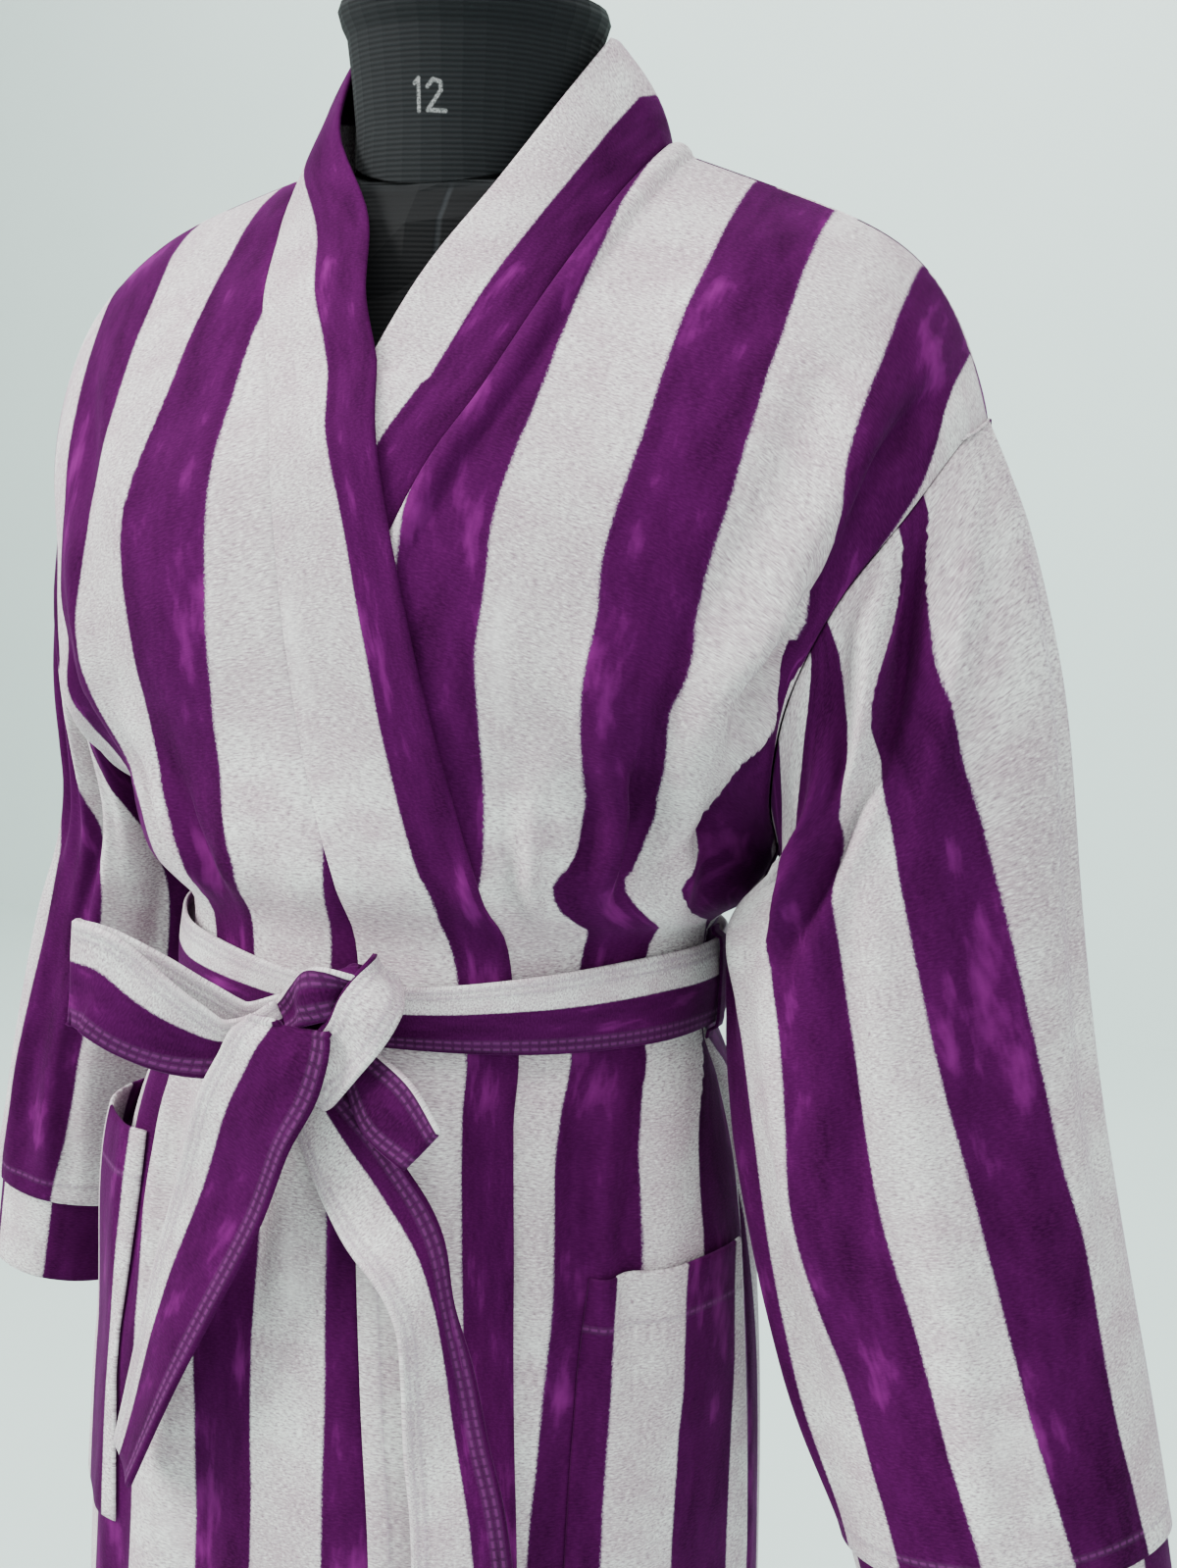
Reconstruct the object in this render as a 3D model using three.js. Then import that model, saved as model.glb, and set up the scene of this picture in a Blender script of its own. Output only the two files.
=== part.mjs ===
// Striped velvet kimono robe, tied with its own belt, on a limbless dress form with a round foot.
// Millimetres, +Z up. The origin is the centre of the foot's flat underside.
// The wearer faces -Y, so the wearer's left side is +X.

import * as THREE from 'three';
import { mergeVertices } from 'three/addons/utils/BufferGeometryUtils.js';

// Cloth sizes
const WALL = 2;                  // velvet with its turned seams
const SEAM_GAP = 0.3;            // between two pieces that are sewn edge to edge
const LAYER = WALL + 0.7;        // how far a second layer stands out from the one below it
const LAP = WALL + 1.6;          // how far the right front stands out where it lies on the left one
const CUFF_DROP = 45;            // how much of the cuff shows under the sleeve's hem
const POCKET_WIDTH = 112;
const POCKET_DEPTH = 185;

// Body sections, from the hem to the shoulder seam. A section runs from the middle of the front or
// back to the side seam, or to the armhole above the underarm. half: from the middle to the side.
// zMid, zSide: its heights there. front, back: how far the middle stands before and behind the axis.
// shift: the middle's place across.
const SECTIONS = [
  { name: 'hem',        zMid: 165,  zSide: 165,  half: 184, front: 150, back: 148, shift: -6 },
  { name: 'shin',       zMid: 330,  zSide: 330,  half: 181, front: 148, back: 146, shift: -7 },
  { name: 'knee',       zMid: 500,  zSide: 500,  half: 178, front: 146, back: 143, shift: -8 },
  { name: 'thigh',      zMid: 660,  zSide: 660,  half: 175, front: 143, back: 140, shift: -8 },
  { name: 'pocket_low', zMid: 790,  zSide: 790,  half: 172, front: 140, back: 136, shift: -8 },
  { name: 'hip',        zMid: 880,  zSide: 880,  half: 167, front: 136, back: 131, shift: -8 },
  { name: 'skirt_top',  zMid: 960,  zSide: 960,  half: 156, front: 129, back: 124, shift: -6 },
  { name: 'under_belt', zMid: 1004, zSide: 1002, half: 143, front: 122, back: 116, shift: -3 },
  { name: 'belt_low',   zMid: 1029, zSide: 1027, half: 131, front: 114, back: 107, shift: 0 },
  { name: 'belt',       zMid: 1053, zSide: 1051, half: 131, front: 114, back: 107, shift: 0 },
  { name: 'belt_high',  zMid: 1082, zSide: 1079, half: 131, front: 114, back: 107, shift: 0 },
  { name: 'blouse',     zMid: 1110, zSide: 1094, half: 150, front: 126, back: 119, shift: 0 },
  { name: 'underarm',   zMid: 1160, zSide: 1116, half: 161, front: 130, back: 126, shift: 0 },
  { name: 'side',       zMid: 1222, zSide: 1150, half: 172, front: 134, back: 131, shift: 3 },
  { name: 'bust',       zMid: 1290, zSide: 1192, half: 178, front: 129, back: 130, shift: 8 },
  { name: 'chest',      zMid: 1329, zSide: 1235, half: 190, front: 114, back: 122, shift: 14 },
  { name: 'collar',     zMid: 1373, zSide: 1272, half: 210, front: 88,  back: 106, shift: 16 },
  { name: 'yoke',       zMid: 1415, zSide: 1300, half: 224, front: 50,  back: 78,  shift: 15 },
  { name: 'slope',      zMid: 1438, zSide: 1309, half: 228, front: 24,  back: 42,  shift: 15 },
  { name: 'shoulder',   zMid: 1458, zSide: 1314, half: 230, front: -4,  back: 4,   shift: 15 },
];
// Where the sections end at the armhole: how far before and behind the axis
const ARMHOLE = [
  { at: 'blouse',   front: 0, back: 0 },
  { at: 'underarm', front: 0, back: 0 },
  { at: 'side',     front: 62, back: 50 },
  { at: 'bust',     front: 82, back: 66 },
  { at: 'chest',    front: 76, back: 62 },
  { at: 'collar',   front: 54, back: 46 },
  { at: 'yoke',     front: 27, back: 24 },
  { at: 'slope',    front: 10, back: 13 },
  { at: 'shoulder', front: -4, back: 4 },
];
const LEVEL = Object.fromEntries(SECTIONS.map((section, index) => [section.name, index]));
const SHOULDER_SLOPE = 0.54;     // share of a section's fall that is an even slope; the rest is at its end
const SHOULDER_TURN = 12;        // how late the rest comes

// Where each front meets its collar band, and the band's free edge, across from the axis
const RIGHT_EDGES = [
  { at: 'hem',        seam: 35,  free: 98 },
  { at: 'knee',       seam: 34,  free: 97 },
  { at: 'pocket_low', seam: 32,  free: 94 },
  { at: 'hip',        seam: 24,  free: 88 },
  { at: 'skirt_top',  seam: 16,  free: 82 },
  { at: 'under_belt', seam: 12,  free: 78 },
  { at: 'belt',       seam: 9,   free: 74 },
  { at: 'blouse',     seam: 0,  free: 65 },
  { at: 'underarm',   seam: -13, free: 52 },
  { at: 'side',       seam: -23, free: 37 },
  { at: 'bust',       seam: -33, free: 18 },
  { at: 'chest',      seam: -43, free: 9 },
  { at: 'collar',     seam: -62, free: -3 },
  { at: 'yoke',       seam: -78, free: -18 },
  { at: 'slope',      seam: -86, free: -51 },
  { at: 'shoulder',   seam: -90, free: -63 },
];
const LEFT_EDGES = [
  { at: 'hem',        seam: 4,   free: -60 },
  { at: 'hip',        seam: 2,   free: -62 },
  { at: 'belt',       seam: 0,   free: -64 },
  { at: 'blouse',     seam: 1,   free: -63 },
  { at: 'underarm',   seam: 3,   free: -58 },
  { at: 'side',       seam: 10,  free: -42 },
  { at: 'bust',       seam: 36,  free: -14 },
  { at: 'chest',      seam: 56,  free: 3 },
  { at: 'collar',     seam: 72,  free: 21 },
  { at: 'yoke',       seam: 83,  free: 40 },
  { at: 'slope',      seam: 88,  free: 57 },
  { at: 'shoulder',   seam: 92,  free: 67 },
];
// Where a band has left the front and stands towards the neck: its free edge's depth and height
const RIGHT_STAND = [
  { at: 'chest',    y: null, z: null },
  { at: 'collar',   y: -102, z: 1356 },
  { at: 'yoke',     y: -77,  z: 1394 },
  { at: 'slope',    y: -43,  z: 1434 },
  { at: 'shoulder', y: -8,   z: 1470 },
];
const LEFT_STAND = [
  { at: 'chest',    y: null, z: null },
  { at: 'collar',   y: -95,  z: 1369 },
  { at: 'yoke',     y: -64,  z: 1410 },
  { at: 'slope',    y: -37,  z: 1447 },
  { at: 'shoulder', y: -6,   z: 1478 },
];
const NECK_BACK = { seamY: 76, seamZ: 1430, freeY: 60, freeZ: 1483 };   // the band behind the neck

// Folds of the body: x, z at the top and bottom of each, its half width and how far it stands out
const FRONT_FOLDS = [
  { name: 'blouse over belt, left',   top: 1230, low: 1082, xTop: 124,  xLow: 110,  width: 16, rise: 7 },
  { name: 'blouse under arm, left',   top: 1210, low: 1082, xTop: 148,  xLow: 126,  width: 13, rise: 8 },
  { name: 'blouse middle, left',      top: 1180, low: 1082, xTop: 96,   xLow: 94,   width: 11, rise: 4 },
  { name: 'blouse over belt, right',  top: 1180, low: 1082, xTop: -120, xLow: -96,  width: 15, rise: 5 },
  { name: 'blouse under arm, right',  top: 1200, low: 1082, xTop: -150, xLow: -120, width: 12, rise: 6 },
  { name: 'skirt, left of middle',    top: 1030, low: 166,  xTop: 104,  xLow: 128,  width: 22, rise: 6 },
  { name: 'skirt, left side',         top: 1030, low: 166,  xTop: 124,  xLow: 160,  width: 15, rise: 7 },
  { name: 'skirt, right of middle',   top: 1030, low: 166,  xTop: -70,  xLow: -82,  width: 22, rise: 6 },
  { name: 'skirt, right side',        top: 1030, low: 166,  xTop: -112, xLow: -140, width: 18, rise: 7 },
];
const BACK_FOLDS = [
  { name: 'back blouse, middle',      top: 1200, low: 1082, xTop: 10,   xLow: 4,    width: 16, rise: 6 },
  { name: 'back blouse, left',        top: 1210, low: 1082, xTop: 84,   xLow: 62,   width: 16, rise: 7 },
  { name: 'back blouse, right',       top: 1205, low: 1082, xTop: -80,  xLow: -60,  width: 15, rise: 7 },
  { name: 'back skirt, left',         top: 1030, low: 166,  xTop: 48,   xLow: 70,   width: 24, rise: 8 },
  { name: 'back skirt, right',        top: 1030, low: 166,  xTop: -52,  xLow: -84,  width: 24, rise: 8 },
  { name: 'back skirt, left side',    top: 1030, low: 166,  xTop: 104,  xLow: 140,  width: 18, rise: 7 },
  { name: 'back skirt, right side',   top: 1030, low: 166,  xTop: -108, xLow: -146, width: 18, rise: 7 },
];

// Rings of each sleeve, below the armhole. x, y, z: centre. tilt: the ring's slope up to its outer
// side, in degrees. half, depth: from the centre to the outer side and to the front. own: 0 is the
// armhole's shape, 1 the sleeve's own.
const LEFT_SLEEVE = [
  { x: 217, y: -3,  z: 1186, tilt: 52, half: 92, depth: 78, own: 0.45 },
  { x: 221, y: -6,  z: 1152, tilt: 34, half: 79, depth: 74, own: 0.85 },
  { x: 224, y: -10, z: 1092, tilt: 17, half: 74, depth: 72, own: 1 },
  { x: 236, y: -16, z: 1022, tilt: 11, half: 74, depth: 72, own: 1 },
  { x: 254, y: -21, z: 950,  tilt: 10, half: 73, depth: 72, own: 1 },
  { x: 273, y: -26, z: 884,  tilt: 9,  half: 71, depth: 72, own: 1 },
  { x: 287, y: -29, z: 833,  tilt: 8,  half: 70, depth: 71, own: 1 },
];
const RIGHT_SLEEVE = [
  { x: 193, y: 18, z: 1190, tilt: 54, half: 56, depth: 70, own: 0.4 },
  { x: 196, y: 38, z: 1154, tilt: 34, half: 40, depth: 68, own: 0.85 },
  { x: 196, y: 62, z: 1096, tilt: 14, half: 44, depth: 75, own: 1 },
  { x: 210, y: 70, z: 1036, tilt: 8,  half: 52, depth: 81, own: 1 },
  { x: 224, y: 70, z: 970,  tilt: 8,  half: 52, depth: 81, own: 1 },
  { x: 231, y: 69, z: 925,  tilt: 8,  half: 52, depth: 80, own: 1 },
  { x: 236, y: 67, z: 892,  tilt: 8,  half: 52, depth: 79, own: 1 },
];
// Folds that run down a sleeve: turn is the place round it, 0 inside, 90 front, 180 outside, 270 back
const LEFT_SLEEVE_FOLDS = [
  { name: 'from the underarm',  turn: 62,  spread: 20, rise: 9, from: 0.15, to: 0.62 },
  { name: 'beside it',          turn: 24,  spread: 18, rise: 6, from: 0.2,  to: 0.8 },
  { name: 'outside',            turn: 186, spread: 26, rise: 4, from: 0.3,  to: 1 },
  { name: 'behind',             turn: 262, spread: 24, rise: 7, from: 0.15, to: 0.8 },
];
const RIGHT_SLEEVE_FOLDS = [
  { name: 'outside front',      turn: 130, spread: 22, rise: 6, from: 0.2,  to: 0.9 },
  { name: 'front',              turn: 78,  spread: 18, rise: 7, from: 0.2,  to: 0.8 },
  { name: 'behind',             turn: 250, spread: 24, rise: 8, from: 0.15, to: 0.8 },
];

// Dress form and stand
const FORM_RINGS = [
  // at: the robe's section it lies under; half: from its middle to its side; slack: how far inside;
  // rim: how far it keeps outside the neck's seam
  { at: 'shoulder',   half: 146, slack: 2.9, rim: 5 },
  { at: 'slope',      half: 168, slack: 8, rim: 9 },
  { at: 'yoke',       half: 180, slack: 6, rim: 14 },
  { at: 'collar',     half: 183, slack: 9 },
  { at: 'chest',      half: 180, slack: 12 },
  { at: 'bust',       half: 172, slack: 14 },
  { at: 'side',       half: 158, slack: 18 },
  { at: 'underarm',   half: 140, slack: 23 },
  { at: 'blouse',     half: 124, slack: 26 },
  { at: 'belt',       half: 116, slack: 14 },
  { at: 'under_belt', half: 124, slack: 18 },
  { at: 'skirt_top',  half: 134, slack: 21 },
  { at: 'hip',        half: 144, slack: 22 },
  { at: 'pocket_low', half: 148, slack: 26 },
];
const FORM_CENTRE_Y = 4;
const RIDGE = 0.6;               // half the width of the form's shoulder ridge
const BESIDE_NECK = 7;           // how much lower the ridge starts, under the band's seam
const NECK_SEAM = { half: 56, front: 60, back: 46, zFront: 1408, zSide: 1424, zBack: 1428 };
const NECK_Y = -8;
const NECK_PROFILE = [
  { z: 1436, radius: 53 },
  { z: 1455, radius: 55 },
  { z: 1476, radius: 58 },
  { z: 1482, radius: 61 },
  { z: 1487, radius: 62.5 },
  { z: 1492, radius: 61 },
  { z: 1494, radius: 57 },
];
const CAP = { radius: 50, z: 1494.3, height: 12, edge: 4, knob: 11, knobHeight: 22 };
const POLE = { radius: 16, collarRadius: 24, collarHeight: 30 };
const FOOT = { radius: 190, height: 14, rim: 5, hub: 42, hubHeight: 34 };

// Materials
const purple = new THREE.MeshStandardMaterial({ color: 0x6e1e6e, roughness: 0.85, metalness: 0 });
const light = new THREE.MeshStandardMaterial({ color: 0xcdc8c8, roughness: 0.9, metalness: 0 });
const cover = new THREE.MeshStandardMaterial({ color: 0x191c1e, roughness: 0.9, metalness: 0 });
const steel = new THREE.MeshStandardMaterial({ color: 0xb9bcc0, roughness: 0.3, metalness: 1 });
const iron = new THREE.MeshStandardMaterial({ color: 0x202224, roughness: 0.55, metalness: 0.3 });

// Small tools
const V = (x, y, z) => new THREE.Vector3(x, y, z);
const mix = (a, b, t) => a + (b - a) * t;
const step = (a, b, x) => {
  const t = Math.min(1, Math.max(0, (x - a) / (b - a)));
  return t * t * (3 - 2 * t);
};

// A mesh from its points and faces
function closedMesh(points, faces) {
  const values = points.flatMap((p) => p.toArray());
  const geometry = new THREE.BufferGeometry();
  geometry.setAttribute('position', new THREE.Float32BufferAttribute(values, 3));
  geometry.setIndex(faces);
  return geometry;
}

// A smooth value between rows of a table, at a row number that may lie between two rows
function smooth(rows, column, at) {
  const last = rows.length - 1;
  const i = Math.min(last - 1, Math.max(0, Math.floor(at)));
  const t = at - i;
  const p1 = rows[i][column];
  const p2 = rows[i + 1][column];
  const p0 = i > 0 ? rows[i - 1][column] : 2 * p1 - p2;
  const p3 = i + 2 <= last ? rows[i + 2][column] : 2 * p2 - p1;
  const m1 = (p2 - p0) / 2;
  const m2 = (p3 - p1) / 2;
  const t2 = t * t;
  const t3 = t2 * t;
  return (2 * t3 - 3 * t2 + 1) * p1 + (t3 - 2 * t2 + t) * m1 + (3 * t2 - 2 * t3) * p2 + (t3 - t2) * m2;
}

// A value from a table whose rows name their section, at a level
function edgeAt(rows, column, level) {
  let i = 0;
  while (i < rows.length - 2 && LEVEL[rows[i + 1].at] <= level) i += 1;
  const a = LEVEL[rows[i].at];
  const b = LEVEL[rows[i + 1].at];
  return smooth(rows, column, i + (level - a) / (b - a));
}

// How far the folds stand out at a point of the body
function foldRise(x, z, face) {
  let rise = 0;
  for (const fold of face === 'front' ? FRONT_FOLDS : BACK_FOLDS) {
    if (z > fold.top || z < fold.low) continue;
    const down = (fold.top - z) / (fold.top - fold.low);
    const middle = mix(fold.xTop, fold.xLow, down);
    const away = (x - middle) / fold.width;
    const ends = Math.min(1, 5 * down) * Math.min(1, 12 * (1 - down) + 0.3);
    rise += fold.rise * Math.exp(-away * away) * ends;
  }
  return rise;
}

// A point of the body's outer surface: a level, and how far across from the middle, at most the half
function bodyPoint(level, x, face, plain = false) {
  const row = (column) => smooth(SECTIONS, column, level);
  const half = row('half');
  const shift = row('shift');
  const across = Math.min(1, Math.abs(x - shift) / half);
  const round = Math.sqrt(Math.max(0, 1 - across * across));
  const isFront = face === 'front';
  const middle = isFront ? row('front') : row('back');
  const end = level <= LEVEL.underarm ? 0 : edgeAt(ARMHOLE, isFront ? 'front' : 'back', level);
  const fall = SHOULDER_SLOPE * across + (1 - SHOULDER_SLOPE) * across ** SHOULDER_TURN;
  const z = mix(row('zMid'), row('zSide'), fall);
  let depth = mix(end, middle, round);
  if (!plain) depth += foldRise(x, z, face) * step(0, 0.35, round);
  return V(x, isFront ? -depth : depth, z);
}

// The side of the body at a level: side is 1 on the wearer's left and -1 on the right
function sideX(level, side) {
  return smooth(SECTIONS, 'shift', level) + side * smooth(SECTIONS, 'half', level);
}

// The right front lies on the left one: it stands out from where the left band's free edge lies
const LAP_FROM = -125;
const LAP_FULL = -80;
function lapOut(level, x) {
  return LAP * step(LAP_FROM, LAP_FULL, x) * (1 - step(LEVEL.collar, LEVEL.yoke, level));
}

// One sewn sheet: a grid of outer points, closed round or open, that becomes a wall of even thickness
class Sheet {
  constructor(name, material, grid, options = {}) {
    this.name = name;
    this.material = material;
    this.grid = grid;
    this.round = options.round ?? false;
    this.sewn = options.sewn ?? [];          // its edges with a seam: first, last, left, right
    this.wall = options.wall ?? WALL;
    this.group = options.group ?? name;
    this.turned = options.turned ?? false;
  }
}

const pointKey = (p) => [p.x, p.y, p.z].map((value) => Math.round(value * 1000)).join();

function eachCell(sheet, visit) {
  const rows = sheet.grid.length;
  const columns = sheet.grid[0].length;
  const lastColumn = sheet.round ? columns : columns - 1;
  for (let i = 0; i < rows - 1; i += 1) {
    for (let j = 0; j < lastColumn; j += 1) visit(i, j, i + 1, (j + 1) % columns);
  }
}

// Smooth normals, shared by the sheets that are sewn together
function sharedNormals(sheets) {
  const sums = new Map();
  for (const sheet of sheets) {
    eachCell(sheet, (i0, j0, i1, j1) => {
      const a = sheet.grid[i0][j0];
      const b = sheet.grid[i0][j1];
      const c = sheet.grid[i1][j1];
      const d = sheet.grid[i1][j0];
      const normal = c.clone().sub(a).cross(d.clone().sub(b));
      if (sheet.turned) normal.negate();
      for (const p of [a, b, c, d]) {
        const key = `${sheet.group}:${pointKey(p)}`;
        if (!sums.has(key)) sums.set(key, V(0, 0, 0));
        sums.get(key).add(normal);
      }
    });
  }
  for (const normal of sums.values()) normal.normalize();
  return sums;
}

// The wall of a sheet: its outer points, drawn back from each seam by half the gap, and inner points
function wallGeometry(sheet, normals) {
  const { grid, round, wall } = sheet;
  const rows = grid.length;
  const columns = grid[0].length;
  const outer = [];
  const inner = [];
  for (let i = 0; i < rows; i += 1) {
    for (let j = 0; j < columns; j += 1) {
      const p = grid[i][j].clone();
      const normal = normals.get(`${sheet.group}:${pointKey(grid[i][j])}`);
      const pull = V(0, 0, 0);
      const add = (edge, here, next) => {
        if (!here || !sheet.sewn.includes(edge)) return;
        const way = next.clone().sub(grid[i][j]);
        way.addScaledVector(normal, -way.dot(normal)).normalize();
        pull.addScaledVector(way, SEAM_GAP / 2);
      };
      add('first', i === 0, grid[Math.min(rows - 1, 1)][j]);
      add('last', i === rows - 1, grid[Math.max(0, rows - 2)][j]);
      add('left', j === 0, grid[i][Math.min(columns - 1, 1)]);
      add('right', j === columns - 1, grid[i][Math.max(0, columns - 2)]);
      p.add(pull);
      outer.push(p);
      inner.push(p.clone().addScaledVector(normal, -wall));
    }
  }
  const points = outer.concat(inner);
  const half = outer.length;
  const faces = [];
  const at = (i, j) => i * columns + (j % columns);
  const quad = (a, b, c, d) => {
    // the shorter diagonal keeps folds smooth
    const straight = points[a].distanceTo(points[c]) <= points[b].distanceTo(points[d]);
    if (straight) faces.push(a, b, c, a, c, d);
    else faces.push(a, b, d, b, c, d);
  };
  const wallPair = (a, b) => quad(a, a + half, b + half, b);
  eachCell(sheet, (i0, j0, i1, j1) => {
    const a = at(i0, j0);
    const b = at(i0, j1);
    const c = at(i1, j1);
    const d = at(i1, j0);
    quad(a, b, c, d);
    quad(d + half, c + half, b + half, a + half);
  });
  const lastColumn = round ? columns : columns - 1;
  for (let j = 0; j < lastColumn; j += 1) {
    wallPair(at(0, j), at(0, j + 1));
    wallPair(at(rows - 1, j + 1), at(rows - 1, j));
  }
  if (!round) {
    for (let i = 0; i < rows - 1; i += 1) {
      wallPair(at(i + 1, 0), at(i, 0));
      wallPair(at(i, columns - 1), at(i + 1, columns - 1));
    }
  }
  if (sheet.turned) {
    for (let k = 0; k < faces.length; k += 3) [faces[k], faces[k + 1]] = [faces[k + 1], faces[k]];
  }
  return closedMesh(points, faces);
}

// Levels at which the body panels have a row of points: each section, and some between them
const ARM_BETWEEN = [0.5, 1.5, 2.5, 3.5];
const levelsFrom = (first, last) => Array.from({ length: last - first + 1 }, (_, k) => first + k);
const ARM_LEVELS = levelsFrom(LEVEL.underarm, LEVEL.shoulder)
  .concat(ARM_BETWEEN.map((more) => LEVEL.underarm + more))
  .sort((a, b) => a - b);
const BODY_LEVELS = levelsFrom(LEVEL.hem, LEVEL.blouse).concat(ARM_LEVELS);
const TOP = LEVEL.shoulder;

// Points across, from an inner place to the side, closer together towards the side
const PANEL_STEPS = 12;
function acrossPlaces(inner, level, side) {
  const middle = smooth(SECTIONS, 'shift', level);
  const half = smooth(SECTIONS, 'half', level);
  const start = Math.asin(Math.max(-1, Math.min(1, (side * (inner - middle)) / half)));
  return Array.from({ length: PANEL_STEPS + 1 }, (_, k) => (
    middle + side * half * Math.sin(mix(start, Math.PI / 2, k / PANEL_STEPS))
  ));
}

// Front panels: rows from the band's seam to the side seam or armhole
function frontGrid(side, edges) {
  return BODY_LEVELS.map((level) => acrossPlaces(edgeAt(edges, 'seam', level), level, side).map((x) => {
    const p = bodyPoint(level, x, 'front');
    if (side < 0) p.y -= lapOut(level, x);
    return p;
  }));
}

// Back panel: rows from the right side to the left one; its top row is the shoulder and the neckline
const NECK_STEPS = 4;
function necklinePlace(side, turn) {
  const start = side > 0 ? edgeAt(LEFT_EDGES, 'seam', TOP) : edgeAt(RIGHT_EDGES, 'seam', TOP);
  const p = bodyPoint(TOP, start, 'back');
  return V(
    start * Math.cos(turn),
    mix(p.y, NECK_BACK.seamY, Math.sin(turn)),
    mix(p.z, NECK_BACK.seamZ, Math.sin(turn)),
  );
}
function backGrid() {
  return BODY_LEVELS.map((level) => {
    const sides = [-1, 1].map((side) => {
      const edges = side > 0 ? LEFT_EDGES : RIGHT_EDGES;
      const neck = edgeAt(edges, 'seam', TOP);
      const share = step(LEVEL.belt, TOP, level);
      const half = smooth(SECTIONS, 'half', level);
      const inner = mix(side * half * 0.37, neck, share);
      const places = acrossPlaces(inner, level, side).map((x) => bodyPoint(level, x, 'back'));
      const middle = [];
      for (let k = NECK_STEPS; k >= 1; k -= 1) {
        const turn = (Math.PI / 2) * (k / NECK_STEPS);
        // above the yoke the middle runs up to the neckline
        const flat = bodyPoint(Math.min(level, LEVEL.yoke), inner * Math.cos(turn), 'back');
        const rise = Math.max(0, (level - LEVEL.yoke) / (TOP - LEVEL.yoke));
        middle.push(flat.lerp(necklinePlace(side, turn), rise));
      }
      return middle.concat(places);
    });
    return sides[0].slice(1).reverse().concat(sides[1]);
  });
}

// Collar bands: one row for each level and then round the neck, from the seam to the free edge
const BAND_STEPS = 4;
const BAND_BOW = 5;              // how far its middle stands out where it stands up
function standPlace(rows, column, level, low) {
  if (level <= LEVEL.chest) return low;
  const list = rows.map((row) => ({ at: row.at, value: row[column] ?? low }));
  return edgeAt(list, 'value', level);
}
function bandPoint(side, edges, stand, level, share) {
  const seamX = edgeAt(edges, 'seam', level);
  const freeX = edgeAt(edges, 'free', level);
  const seam = bodyPoint(level, seamX, 'front');
  const onBody = bodyPoint(Math.min(level, LEVEL.chest), mix(seamX, freeX, share), 'front');
  const lowLevel = Math.min(level, LEVEL.chest);
  const low = bodyPoint(lowLevel, edgeAt(edges, 'free', lowLevel), 'front');
  const free = V(freeX, standPlace(stand, 'y', level, low.y), standPlace(stand, 'z', level, low.z));
  const p = level <= LEVEL.chest ? onBody : seam.clone().lerp(free, share);
  const bow = BAND_BOW * Math.sin(Math.PI * share) * step(LEVEL.chest, LEVEL.yoke, level);
  if (level > LEVEL.chest) p.y -= bow;
  if (side < 0) p.y -= lapOut(Math.min(level, TOP), p.x);
  return p;
}
function bandGrid(side, edges, stand) {
  const row = (place) => Array.from({ length: BAND_STEPS + 1 }, (_, k) => place(k / BAND_STEPS));
  const grid = BODY_LEVELS.map((level) => row((share) => bandPoint(side, edges, stand, level, share)));
  const start = bandPoint(side, edges, stand, TOP, 1);
  for (let k = 1; k <= NECK_STEPS; k += 1) {
    const turn = (Math.PI / 2) * (k / NECK_STEPS);
    const seam = necklinePlace(side, turn);
    const free = V(
      start.x * Math.cos(turn),
      mix(start.y, NECK_BACK.freeY, Math.sin(turn)),
      mix(start.z, NECK_BACK.freeZ, Math.sin(turn)),
    );
    const out = V(side * Math.cos(turn), Math.sin(turn), 0);
    grid.push(row((share) => {
      const bow = BAND_BOW * Math.sin(Math.PI * share);
      return seam.clone().lerp(free, share).addScaledVector(out, bow);
    }));
  }
  return grid;
}

// The armhole, from the underarm up the front to the shoulder and down the back
function armholeLoop(side) {
  const front = ARM_LEVELS.map((level) => bodyPoint(level, sideX(level, side), 'front'));
  const back = ARM_LEVELS.map((level) => bodyPoint(level, sideX(level, side), 'back'));
  return front.concat(back.slice(1, -1).reverse());
}

// One ring of a sleeve, with as many points as the armhole and in the same order
function sleeveRing(side, row, loop) {
  const tilt = THREE.MathUtils.degToRad(row.tilt);
  const outward = V(side * Math.cos(tilt), 0, Math.sin(tilt));
  const centre = V(side * row.x, row.y, row.z);
  const loopCentre = loop.reduce((sum, p) => sum.add(p), V(0, 0, 0)).divideScalar(loop.length);
  return loop.map((p, k) => {
    const turn = (2 * Math.PI * k) / loop.length;
    const own = centre.clone()
      .addScaledVector(outward, -row.half * Math.cos(turn))
      .add(V(0, -row.depth * Math.sin(turn), 0));
    const moved = p.clone().sub(loopCentre).add(centre);
    return moved.lerp(own, row.own);
  });
}

const RING_SPLITS = 2;           // rings between two rows of the sleeve's table
function sleeveGrid(side, rows, folds) {
  const loop = armholeLoop(side);
  const rings = rows.map((row) => sleeveRing(side, row, loop));
  const all = [loop, ...rings];
  const grid = [loop];
  const total = (all.length - 1) * RING_SPLITS;
  for (let n = 1; n <= total; n += 1) {
    const at = n / RING_SPLITS;
    const down = n / total;
    const ring = loop.map((_, k) => {
      const column = all.map((points) => points[k]);
      return V(smooth(column, 'x', at), smooth(column, 'y', at), smooth(column, 'z', at));
    });
    const centre = ring.reduce((sum, p) => sum.add(p), V(0, 0, 0)).divideScalar(ring.length);
    grid.push(ring.map((p, k) => {
      const turn = (360 * k) / loop.length;
      const out = p.clone().sub(centre).normalize();
      let rise = 0;
      for (const fold of folds) {
        const away = ((((turn - fold.turn) % 360) + 540) % 360) - 180;
        const starts = step(fold.from - 0.12, fold.from + 0.12, down);
        const ends = 1 - step(fold.to, fold.to + 0.2, down);
        rise += fold.rise * Math.exp(-((away / fold.spread) ** 2)) * starts * ends;
      }
      return p.addScaledVector(out, rise);
    }));
  }
  return grid;
}

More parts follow.
